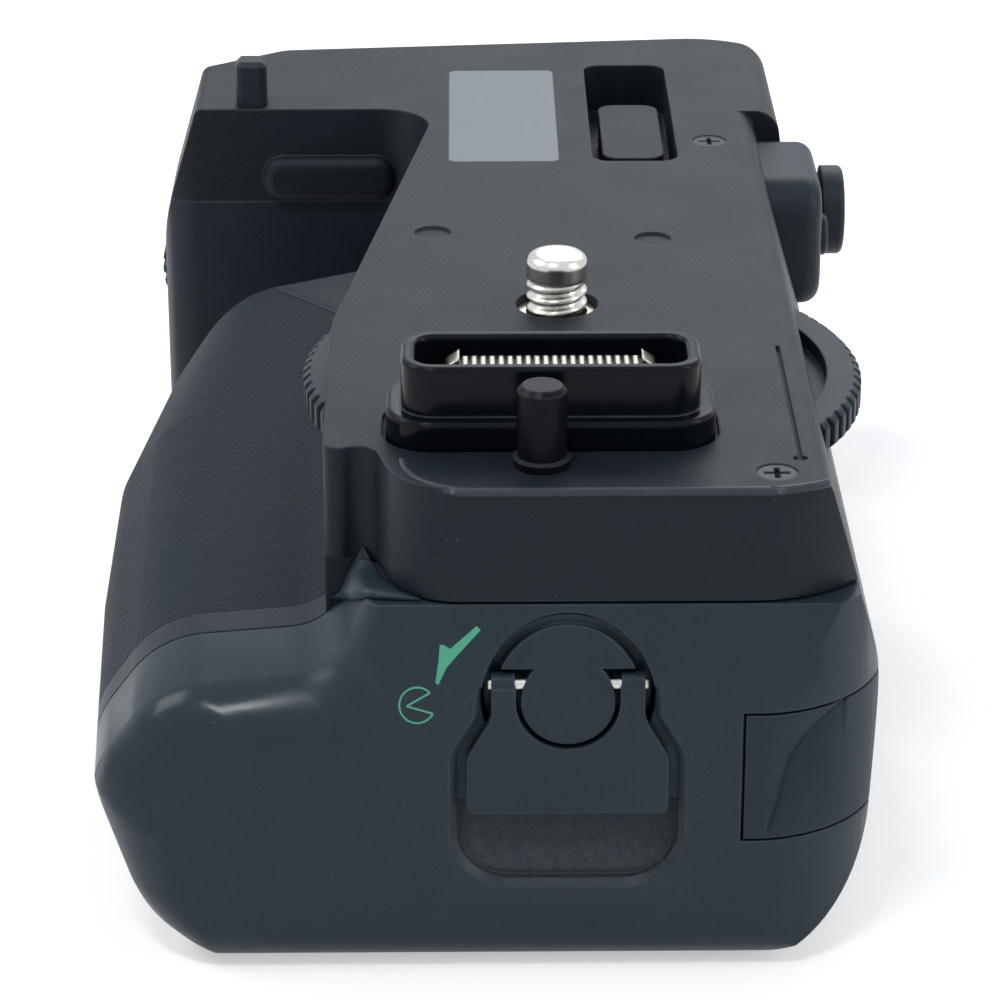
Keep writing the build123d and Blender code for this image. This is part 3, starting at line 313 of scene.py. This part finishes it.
lip = grown(beads, "deck_lip", lip_path, in_a_row(len(lip_path)), Radius=lip_radius, Step=lip_step,
            Material=lip_black)
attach(lip, "housing")

# Lower housing: one thick moulding in the same black nylon with a finer grain, screwed to the deck from
# inside. The wheel, the dials, the keys and the panels round it are moulded in the same way.
smooth_angle = math.radians(33)
weld = 0.002 * mm


def welded(node):
    """Copy of a CAD node's mesh, and a form of it with its loose triangles joined."""
    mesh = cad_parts[node].data.copy()
    form = bmesh.new()
    form.from_mesh(mesh)
    bmesh.ops.remove_doubles(form, verts=form.verts, dist=weld)
    return mesh, form


def set_down(form, mesh, *materials):
    """Writes a form into a mesh, with its own materials and without any stored normals."""
    form.to_mesh(mesh)
    form.free()
    if "custom_normal" in mesh.attributes:
        mesh.attributes.remove(mesh.attributes["custom_normal"])
    mesh.materials.clear()
    for material in materials:
        mesh.materials.append(material)
    return mesh


def smooth_shell(node, name, material, body):
    """Copy of a CAD node whose facets are shaded as the smooth moulded surface that they stand for."""
    mesh, form = welded(node)
    for edge in form.edges:
        edge.smooth = edge.is_manifold and edge.calc_face_angle(0) < smooth_angle
    for face in form.faces:
        face.smooth = True
        face.material_index = 0
    piece = shown(name, set_down(form, mesh, material))
    weighted = piece.modifiers.new("weighted", "WEIGHTED_NORMAL")
    weighted.keep_sharp = True
    made_plain(piece)
    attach(piece, body)
    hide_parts(node)
    return piece


case_black = grained_finish("case_black", (0.014, 0.021, 0.029), roughness=0.42, grain=3200.0, depth=0.02,
                            dust=0.15)
smooth_shell("main_casing", "main_casing_shell", case_black, "housing")
dress(case_black, "rear_control_panel", "battery_holder", "shutter_lock_ring", "chamber_contact_block",
      "main_dial", "sub_dial", "attachment_wheel", "selector_pad", "selector_rocker", "af_button",
      "shutter_button", "guide_peg")

# Grips: soft rubber skins moulded over the handle and under the thumb, with a fine leather-like pebble that
# is rubbed smooth where the palm lies.
pebble_size = 1300.0
pebble_depth = 0.10 * mm
palm_wear_size = 55.0


def pebbled_rubber(name, colour, roughness):
    """Rubber with small raised pebbles and a dull, uneven sheen."""
    material, tree, principled = plain_finish(name, colour, roughness, specular=0.15)
    place = wired(tree, "ShaderNodeTexCoord").outputs["Object"]
    cells = wired(tree, "ShaderNodeTexVoronoi", {"Vector": place, "Scale": pebble_size, "Randomness": 1.0},
                  feature="SMOOTH_F1")
    grain = wired(tree, "ShaderNodeTexNoise", {"Vector": place, "Scale": pebble_size * 1.7, "Detail": 3.0})
    height = wired(tree, "ShaderNodeMath", {0: grain.outputs["Fac"], 1: cells.outputs["Distance"]},
                   operation="SUBTRACT")
    rounded = wired(tree, "ShaderNodeBevel", {"Radius": 0.5 * mm}, samples=4)
    bump = wired(tree, "ShaderNodeBump", {"Height": height.outputs[0], "Distance": pebble_depth,
                                          "Strength": 0.9, "Normal": rounded.outputs[0]})
    tree.links.new(bump.outputs[0], principled.inputs["Normal"])
    cloud = wired(tree, "ShaderNodeTexNoise", {"Vector": place, "Scale": palm_wear_size, "Detail": 5.0})
    tone = wired(tree, "ShaderNodeMapRange", {"Value": cloud.outputs["Fac"], "To Min": 0.75,
                                              "To Max": 1.30})
    base = wired(tree, "ShaderNodeVectorMath", {0: colour, "Scale": tone.outputs["Result"]},
                 operation="SCALE")
    tree.links.new(base.outputs[0], principled.inputs["Base Color"])
    sheen = wired(tree, "ShaderNodeMapRange", {"Value": cloud.outputs["Fac"], "To Min": roughness - 0.1,
                                               "To Max": roughness + 0.1})
    tree.links.new(sheen.outputs["Result"], principled.inputs["Roughness"])
    return material


grip_rubber = pebbled_rubber("grip_rubber", (0.013, 0.019, 0.026), roughness=0.62)
smooth_shell("handle_rubber", "handle_rubber_skin", grip_rubber, "housing")
dress(grip_rubber, "thumb_rubber")

# Battery end cap: a hard moulding that closes the chamber, held to the battery tray by four screws. It is
# rolled over at the top of the handle, where hands have polished it, and dust lies in the latch's scoop.


def zone(tree, low, high, soft):
    """Mask that is one inside a box in the object's own frame, with soft sides."""
    place = wired(tree, "ShaderNodeTexCoord").outputs["Object"]
    axes = wired(tree, "ShaderNodeSeparateXYZ", {0: place})
    mask = None
    for axis, start, end in zip(axes.outputs, low, high):
        rise = wired(tree, "ShaderNodeMapRange", {"Value": axis, "From Min": (start - soft) * mm,
                                                  "From Max": (start + soft) * mm})
        fall = wired(tree, "ShaderNodeMapRange", {"Value": axis, "From Min": (end + soft) * mm,
                                                  "From Max": (end - soft) * mm})
        both = wired(tree, "ShaderNodeMath", {0: rise.outputs[0], 1: fall.outputs[0]}, operation="MULTIPLY")
        if mask:
            both = wired(tree, "ShaderNodeMath", {0: mask, 1: both.outputs[0]}, operation="MULTIPLY")
        mask = both.outputs[0]
    return mask


def settle_dust(material, low, high, soft, colour, amount):
    """Dry dust that has settled in a zone of a finished material."""
    tree = material.node_tree
    base = tree.nodes["Principled BSDF"].inputs["Base Color"]
    place = wired(tree, "ShaderNodeTexCoord").outputs["Object"]
    grit = wired(tree, "ShaderNodeTexNoise", {"Vector": place, "Scale": 1500.0, "Detail": 6.0,
                                              "Roughness": 0.8})
    thick = wired(tree, "ShaderNodeMapRange", {"Value": grit.outputs["Fac"], "From Min": 0.38,
                                               "From Max": 0.66, "To Max": amount})
    cover = wired(tree, "ShaderNodeMath", {0: zone(tree, low, high, soft), 1: thick.outputs[0]},
                  operation="MULTIPLY")
    mixed = wired(tree, "ShaderNodeMixRGB", {"Fac": cover.outputs[0], "Color1": base.links[0].from_socket,
                                             "Color2": (*colour, 1)})
    tree.links.new(mixed.outputs[0], base)


def polish(material, low, high, soft, roughness):
    """Lower roughness in a zone that hands have rubbed smooth."""
    tree = material.node_tree
    rough = tree.nodes["Principled BSDF"].inputs["Roughness"]
    rubbed = wired(tree, "ShaderNodeMapRange", {"Value": zone(tree, low, high, soft), "To Max": roughness,
                                                "To Min": rough.links[0].from_socket})
    tree.links.new(rubbed.outputs[0], rough)


cap_black = grained_finish("cap_black", (0.022, 0.035, 0.047), roughness=0.36, grain=3200.0, depth=0.012,
                           dust=0.30)
settle_dust(cap_black, low=(45.0, -11.5, -42.0), high=(49.9, 11.5, -32.0), soft=0.8,
            colour=(0.090, 0.085, 0.075), amount=0.60)
polish(cap_black, low=(38.0, -50.0, -31.0), high=(52.0, -27.0, -10.0), soft=3.0, roughness=0.20)
smooth_shell("end_cap", "end_cap_shell", cap_black, "holder")

# Fin of the cap: a thin pointed tongue, moulded with the cap, that stands against the casing's wall in the
# corner between the nose and the handle. Its outline is laid on the wall as the camera sees it.


def seen_along(pixel):
    """Direction from the camera through a pixel of its picture."""
    across, down = pixel
    return (forward * focal_pixels + rightward * (across - picture_middle)
            + upward * (picture_middle - down)).normalized()


def surface_of(*names):
    """Search tree of the faces of CAD nodes."""
    places, corners = [], []
    for name in names:
        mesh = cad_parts[name].data
        mesh.calc_loop_triangles()
        corners += [[len(places) + corner for corner in face.vertices] for face in mesh.loop_triangles]
        places += [v.co for v in mesh.vertices]
    return BVHTree.FromPolygons(places, corners)


def laid_on(surface, direction, lift=0.0):
    """Point of a surface in a direction from the camera, lifted off it."""
    place, normal, _, _ = surface.ray_cast(camera_place, direction)
    return place + normal * lift


fin_left = [(362, 546), (356, 561), (349, 577), (340, 590), (330, 599)]
fin_right = [(364, 546), (372, 564), (384, 581), (400, 593), (420, 602)]
fin_columns = 6
fin_gap = 0.05 * mm
fin_thin = 0.20 * mm
fin_thick = 0.60 * mm
fin_side_share = 0.6


def fin_grids():
    """Back and front of the fin, row by row from its tip, on the casing's wall."""
    wall = surface_of("top_casing", "main_casing", "end_cap")
    back, front = [], []
    for row, (left, right) in enumerate(zip(fin_left, fin_right)):
        share = row / (len(fin_left) - 1)
        thick = fin_thin + (fin_thick - fin_thin) * share
        for column in range(fin_columns + 1):
            across = column / fin_columns
            pixel = [start + (end - start) * across for start, end in zip(left, right)]
            bulge = fin_side_share + (1 - fin_side_share) * math.sin(math.pi * across)
            back.append(laid_on(wall, seen_along(pixel), fin_gap))
            front.append(laid_on(wall, seen_along(pixel), fin_gap + thick * bulge))
    return back, front


def closed_sheet(back, front, columns):
    """Closed form between a back grid and a front grid of points."""
    form = bmesh.new()
    rows = len(back) // (columns + 1)
    sheets = [[form.verts.new(point) for point in grid] for grid in (back, front)]

    def at(sheet, row, column):
        return sheets[sheet][row * (columns + 1) + column]

    for row in range(rows - 1):
        for column in range(columns):
            for sheet in (0, 1):
                form.faces.new((at(sheet, row, column), at(sheet, row + 1, column),
                                at(sheet, row + 1, column + 1), at(sheet, row, column + 1)))
        for column in (0, columns):
            form.faces.new((at(0, row, column), at(0, row + 1, column), at(1, row + 1, column),
                            at(1, row, column)))
    for column in range(columns):
        for row in (0, rows - 1):
            form.faces.new((at(0, row, column), at(0, row, column + 1), at(1, row, column + 1),
                            at(1, row, column)))
    bmesh.ops.recalc_face_normals(form, faces=form.faces)
    for face in form.faces:
        face.smooth = True
    return form


fin_form = closed_sheet(*fin_grids(), fin_columns)
cap_fin = shown("cap_fin", set_down(fin_form, bpy.data.meshes.new("cap_fin"), cap_black))
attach(cap_fin, "holder")

# Turning marks: a pointed arrow and a round key, pad printed on the cap in thin green ink that is worn
# through in specks. They show which way the latch turns.
print_green, tree, principled = plain_finish("print_green", (0.075, 0.36, 0.22), roughness=0.55)
place = wired(tree, "ShaderNodeTexCoord").outputs["Object"]
worn_print = wired(tree, "ShaderNodeTexNoise", {"Vector": place, "Scale": 1400.0, "Detail": 3.0})
print_tone = wired(tree, "ShaderNodeValToRGB", {"Fac": worn_print.outputs["Fac"]})
print_tone.color_ramp.elements[0].color = (0.030, 0.12, 0.080, 1)
print_tone.color_ramp.elements[0].position = 0.24
print_tone.color_ramp.elements[1].color = (0.085, 0.40, 0.245, 1)
print_tone.color_ramp.elements[1].position = 0.36
tree.links.new(print_tone.outputs["Color"], principled.inputs["Base Color"])
print_lift = 0.02 * mm
print_cuts = 3
arrow_outline = [(476.6, 626.0), (480.7, 630.0), (455.5, 657.5), (446.0, 668.5), (438.5, 684.8),
                 (435.3, 683.0), (438.5, 661.0), (439.8, 644.5), (444.0, 645.0), (450.0, 649.0)]
key_middle = (417.1, 705.2)
key_radius = 17.8
key_stroke = 2.0
key_open = (44, 332)
key_point = (406.6, 706.2)
key_steps = 40


def key_line():
    """Centre line of the round key: an open ring whose ends meet in a point near its left side."""
    line = [key_point]
    for step in range(key_steps + 1):
        angle = math.radians(key_open[0] + (key_open[1] - key_open[0]) * step / key_steps)
        line.append((key_middle[0] + key_radius * math.cos(angle),
                     key_middle[1] - key_radius * math.sin(angle)))
    return line + [key_point]


def stroke_outlines(line, width):
    """Four-sided strokes along a line of pixels."""
    outlines = []
    for (left, top), (right, low) in zip(line, line[1:]):
        length = math.hypot(right - left, low - top)
        over = width / 2 * (low - top) / length
        down = width / 2 * (left - right) / length
        outlines.append([(left + over, top + down), (right + over, low + down), (right - over, low - down),
                         (left - over, top - down)])
    return outlines


def pad_printed(name, surface, outlines):
    """Thin green print on the cap, from outlines in pixels of the camera's picture."""
    form = bmesh.new()
    for outline in outlines:
        form.faces.new([form.verts.new(laid_on(surface, seen_along(pixel), print_lift)) for pixel in outline])
    bmesh.ops.triangulate(form, faces=form.faces)
    bmesh.ops.subdivide_edges(form, edges=form.edges, cuts=print_cuts, use_grid_fill=True)
    for vert in form.verts:
        vert.co = laid_on(surface, (vert.co - camera_place).normalized(), print_lift)
    for face in form.faces:
        if face.normal.dot(forward) > 0:
            face.normal_flip()
    piece = shown(name, set_down(form, bpy.data.meshes.new(name), print_green))
    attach(piece, "holder")


cap_surface = surface_of("end_cap")
pad_printed("turn_arrow", cap_surface, [arrow_outline])
pad_printed("turn_key", cap_surface, stroke_outlines(key_line(), key_stroke))

# Latch: a hard moulded key with a round boss, and a flap on two steel pins that folds out of its scoop to
# turn it. The bolt behind it is steel, as are the tripod bush and the axles.


def bare_metal(name, colour, roughness, grain, depth):
    """Machined or plated metal with a very fine, even grain."""
    material = grained_finish(name, colour, roughness, grain=grain, depth=depth, wear_and_highlight=0.0)
    material.node_tree.nodes["Principled BSDF"].inputs["Metallic"].default_value = 1.0
    return material


latch_black = grained_finish("latch_black", (0.021, 0.034, 0.046), roughness=0.34, grain=3200.0,
                             depth=0.012, dust=0.20)
steel = bare_metal("steel", (0.62, 0.60, 0.56), roughness=0.22, grain=1800.0, depth=0.01)
dress(latch_black, "latch_knob", "latch_flap")
dress(steel, "latch_bolt", "flap_pins", "tripod_bush", "wheel_axle", "dial_axles")

# Power-lead door: a soft rubber flap that is pressed into the cap's rear corner, with a bending crease
# moulded into its face as a shallow groove.
cover_rubber = grained_finish("cover_rubber", (0.018, 0.028, 0.041), roughness=0.50, grain=2800.0,
                              depth=0.02, dust=0.25)
door_surface = surface_of("dc_cover")
door = smooth_shell("dc_cover", "dc_cover_skin", cover_rubber, "dc_cover")
crease_pixels = [(846, 698), (836, 706), (818, 722), (802, 739), (790, 758), (783, 780), (778, 800),
                 (771, 822), (768, 833)]
crease_radius = 0.20 * mm
crease_step = 0.5 * mm
crease_line = [laid_on(door_surface, seen_along(pixel)) for pixel in crease_pixels]
cutter = grown(beads, "crease_cutter", crease_line, in_a_row(len(crease_line)), Radius=crease_radius,
               Step=crease_step, Material=cover_rubber)
groove = door.modifiers.new("groove", "BOOLEAN")
groove.operation = "DIFFERENCE"
groove.object = cutter
made_plain(door)
bpy.data.objects.remove(cutter)

# Connector: a glossy black shroud with a soft rim round a block that carries twenty plated contacts, each a
# thin sprung blade, and a plated bracket at each end of the row. The guide pin beside it is hard black nylon.
gloss_black = grained_finish("gloss_black", (0.003, 0.005, 0.008), roughness=0.14, grain=900.0, depth=0.004,
                             wear_and_highlight=0.5, specular=0.12)
pin_black = grained_finish("pin_black", (0.003, 0.004, 0.006), roughness=0.34, grain=1800.0, depth=0.01,
                           wear_and_highlight=0.5, specular=0.1)
plated = bare_metal("plated", (0.74, 0.68, 0.56), roughness=0.22, grain=1800.0, depth=0.005)
dress(gloss_black, "connector_shroud", "connector_block")
dress(pin_black, "guide_pin")
dress(plated, "connector_contacts", "holder_contacts", "chamber_contact_pins")
row_low, row_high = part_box("connector_contacts")
bracket_length = 1.3 * mm
bracket_height = 0.9 * mm
bracket_gap = 0.35 * mm
bracket_sink = 0.2 * mm
for name, side, edge_y in (("contact_bracket_front", -1, row_low.y), ("contact_bracket_rear", 1, row_high.y)):
    foot_y = edge_y + side * bracket_gap
    foot_z = row_high.z - bracket_sink
    outline = [(foot_y, foot_z), (foot_y + side * bracket_length, foot_z), (foot_y, foot_z + bracket_height)]
    form = bmesh.new()
    face = form.faces.new([form.verts.new((row_low.x, y, z)) for y, z in outline])
    swept = bmesh.ops.extrude_face_region(form, geom=[face])
    far_side = [part for part in swept["geom"] if isinstance(part, bmesh.types.BMVert)]
    bmesh.ops.translate(form, vec=(row_high.x - row_low.x, 0, 0), verts=far_side)
    bmesh.ops.recalc_face_normals(form, faces=form.faces)
    bracket = shown(name, set_down(form, bpy.data.meshes.new(name), plated))
    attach(bracket, "housing")

# Camera screw: turned stainless steel with a rolled quarter-inch thread and a rounded, bright lead at its
# tip. Its collar and pinion sit below the deck and stay as the CAD solid has them.
stud_radius = 3.175 * mm
stud_top = 5.6 * mm
stud_foot = -0.7 * mm
thread_pitch = 1.27 * mm
thread_depth = 0.62 * mm
thread_roundness = 0.8
run_out = 0.4 * thread_pitch
lead_z = 3.1 * mm
lead_round = 1.1 * mm
stud_sides = 64
stud_levels = 90


def stud_radius_at(angle, height):
    """Radius of the stud at an angle and a height: a rounded thread that runs out below the lead."""
    phase = (height / thread_pitch - angle / math.tau) % 1
    cut = thread_depth * (0.5 - 0.5 * math.cos(math.tau * phase)) ** thread_roundness
    fade = min(1, max(0, (lead_z - height) / run_out))
    radius = stud_radius - cut * fade
    over = height - (stud_top - lead_round)
    if over > 0:
        radius -= lead_round - math.sqrt(max(0, lead_round ** 2 - over ** 2))
    return radius


def stud_ring(form, height):
    """Ring of points round the stud at a height."""
    angles = [math.tau * step / stud_sides for step in range(stud_sides)]
    return [form.verts.new((stud_radius_at(angle, height) * math.cos(angle),
                            stud_radius_at(angle, height) * math.sin(angle), height)) for angle in angles]


screw_mesh, form = welded("attachment_screw")
bmesh.ops.delete(form, geom=[face for face in form.faces if max(v.co.z for v in face.verts) > stud_foot],
                 context="FACES")
for face in form.faces:
    face.material_index = 1
rings = [stud_ring(form, stud_foot + (stud_top - stud_foot) * level / stud_levels)
         for level in range(stud_levels + 1)]
for low, high in zip(rings, rings[1:]):
    for step in range(stud_sides):
        after = (step + 1) % stud_sides
        face = form.faces.new((low[step], low[after], high[after], high[step]))
        face.smooth = True
        face.material_index = 0
form.faces.new(rings[-1])
form.faces.new(list(reversed(rings[0])))
screw_steel = bare_metal("screw_steel", (0.70, 0.67, 0.60), roughness=0.20, grain=1500.0, depth=0.01)
collar_steel = grained_finish("collar_steel", (0.020, 0.022, 0.025), roughness=0.40, grain=1500.0, depth=0.01)
camera_screw = shown("camera_screw", set_down(form, screw_mesh, screw_steel, collar_steel))
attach(camera_screw, "attachment_screw")
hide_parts("attachment_screw")

# Small screws: black-plated steel with a cross recess, driven flush into the deck, the base plate and,
# behind the cap, into the battery tray.
head_sides = 32
shank_sides = 20
recess_reach = 1.25


def screw_tree():
    """Geometry Nodes: a cross-recessed screw at every point of a seed, head up along an axis."""
    tree = bpy.data.node_groups.new("screws", "GeometryNodeTree")
    tree.interface.new_socket("Places", in_out="INPUT", socket_type="NodeSocketGeometry")
    for size in ("Head Radius", "Head Height", "Shank Radius", "Shank Length", "Recess Width",
                 "Recess Depth"):
        tree.interface.new_socket(size, in_out="INPUT", socket_type="NodeSocketFloat")
    tree.interface.new_socket("Axis", in_out="INPUT", socket_type="NodeSocketVector")
    tree.interface.new_socket("Material", in_out="INPUT", socket_type="NodeSocketMaterial")
    tree.interface.new_socket("Screws", in_out="OUTPUT", socket_type="NodeSocketGeometry")
    given = wired(tree, "NodeGroupInput").outputs

    def times(value, factor):
        return wired(tree, "ShaderNodeMath", {0: value, 1: factor}, operation="MULTIPLY").outputs[0]

    def along(height):
        return wired(tree, "ShaderNodeCombineXYZ", {"Z": height}).outputs[0]

    def bar(length_x, length_y):
        size = wired(tree, "ShaderNodeCombineXYZ", {"X": length_x, "Y": length_y, "Z": deep})
        return wired(tree, "GeometryNodeMeshCube", {"Size": size.outputs[0]}).outputs[0]

    head = wired(tree, "GeometryNodeMeshCylinder", {"Vertices": head_sides, "Radius": given["Head Radius"],
                                                    "Depth": given["Head Height"]})
    head = wired(tree, "GeometryNodeTransform", {"Geometry": head.outputs[0],
                                                 "Translation": along(times(given["Head Height"], -0.5))})
    deep = times(given["Recess Depth"], 2.0)
    long = times(given["Head Radius"], recess_reach)
    cut = wired(tree, "GeometryNodeMeshBoolean", {"Mesh 1": head.outputs[0],
                                                  "Mesh 2": bar(long, given["Recess Width"])})
    cut = wired(tree, "GeometryNodeMeshBoolean", {"Mesh 1": cut.outputs[0],
                                                  "Mesh 2": bar(given["Recess Width"], long)})
    shank = wired(tree, "GeometryNodeMeshCylinder", {"Vertices": shank_sides, "Radius": given["Shank Radius"],
                                                     "Depth": given["Shank Length"]})
    middle = wired(tree, "ShaderNodeVectorMath", {0: along(times(given["Head Height"], -1.0)),
                                                  1: along(times(given["Shank Length"], -0.5))},
                   operation="ADD")
    shank = wired(tree, "GeometryNodeTransform", {"Geometry": shank.outputs[0],
                                                  "Translation": middle.outputs[0]})
    screw = wired(tree, "GeometryNodeJoinGeometry")
    tree.links.new(cut.outputs[0], screw.inputs[0])
    tree.links.new(shank.outputs[0], screw.inputs[0])
    points = wired(tree, "GeometryNodeMeshToPoints", {"Mesh": given["Places"]})
    turn = wired(tree, "FunctionNodeAlignRotationToVector", {"Vector": given["Axis"]}, axis="Z")
    placed = wired(tree, "GeometryNodeInstanceOnPoints", {"Points": points.outputs[0],
                                                          "Instance": screw.outputs[0],
                                                          "Rotation": turn.outputs[0]})
    real = wired(tree, "GeometryNodeRealizeInstances", {"Geometry": placed.outputs[0]})
    done = wired(tree, "GeometryNodeSetMaterial", {"Geometry": real.outputs[0],
                                                   "Material": given["Material"]})
    tree.links.new(done.outputs[0], wired(tree, "NodeGroupOutput").inputs["Screws"])
    return tree


def joined_to(vert, left):
    """Takes from the vertices that are left all that are joined to one, and returns them."""
    group, front = set(), [vert]
    while front:
        vert = front.pop()
        group.add(vert)
        for other in (edge.other_vert(vert) for edge in vert.link_edges):
            if other in left:
                left.discard(other)
                front.append(other)
    return group


def solid_tops(node, axis):
    """Middle of each separate solid of a CAD node, at its highest point along an axis."""
    _, form = welded(node)
    tops, left = [], set(form.verts)
    for vert in form.verts:
        if vert not in left:
            continue
        left.discard(vert)
        group = joined_to(vert, left)
        low = Vector([min(v.co[n] for v in group) for n in range(3)])
        high = Vector([max(v.co[n] for v in group) for n in range(3)])
        middle = (low + high) / 2
        tops.append(middle + axis * max((v.co - middle).dot(axis) for v in group))
    form.free()
    return tops


screw_black = grained_finish("screw_black", (0.020, 0.022, 0.024), roughness=0.28, grain=1800.0, depth=0.008,
                             wear_and_highlight=0.8)
screws = screw_tree()
head_height = 1.1 * mm
shank_radius = 0.9 * mm
recess_width = 0.55 * mm
recess_depth = 0.7 * mm
screw_sets = (("deck_screws", "housing", Vector((0, 0, 1)), 1.95 * mm),
              ("base_screws", "housing", Vector((0, 0, -1)), 2.2 * mm),
              ("cap_screws", "holder", Vector((-1, 0, 0)), 1.95 * mm))
for node, body, axis, head_radius in screw_sets:
    low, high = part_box(node)
    length = abs((high - low).dot(axis))
    group = grown(screws, node.replace("screws", "cross_screws"), solid_tops(node, axis),
                  **{"Head Radius": head_radius, "Head Height": head_height,
                     "Shank Radius": shank_radius, "Shank Length": length - head_height,
                     "Recess Width": recess_width, "Recess Depth": recess_depth, "Axis": axis,
                     "Material": screw_black})
    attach(group, body)
    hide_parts(node)

# Base plate and boards: the plate is stamped aluminium in black paint, screwed over the underside. The
# circuit boards inside are green laminate.
base_metal = grained_finish("base_metal", (0.030, 0.032, 0.034), roughness=0.42, grain=2600.0, depth=0.02)
board_green = grained_finish("board_green", (0.010, 0.060, 0.030), roughness=0.40, grain=2000.0, depth=0.01)
dress(base_metal, "base_plate")
dress(board_green, "circuit_board", "connector_board", "control_board")
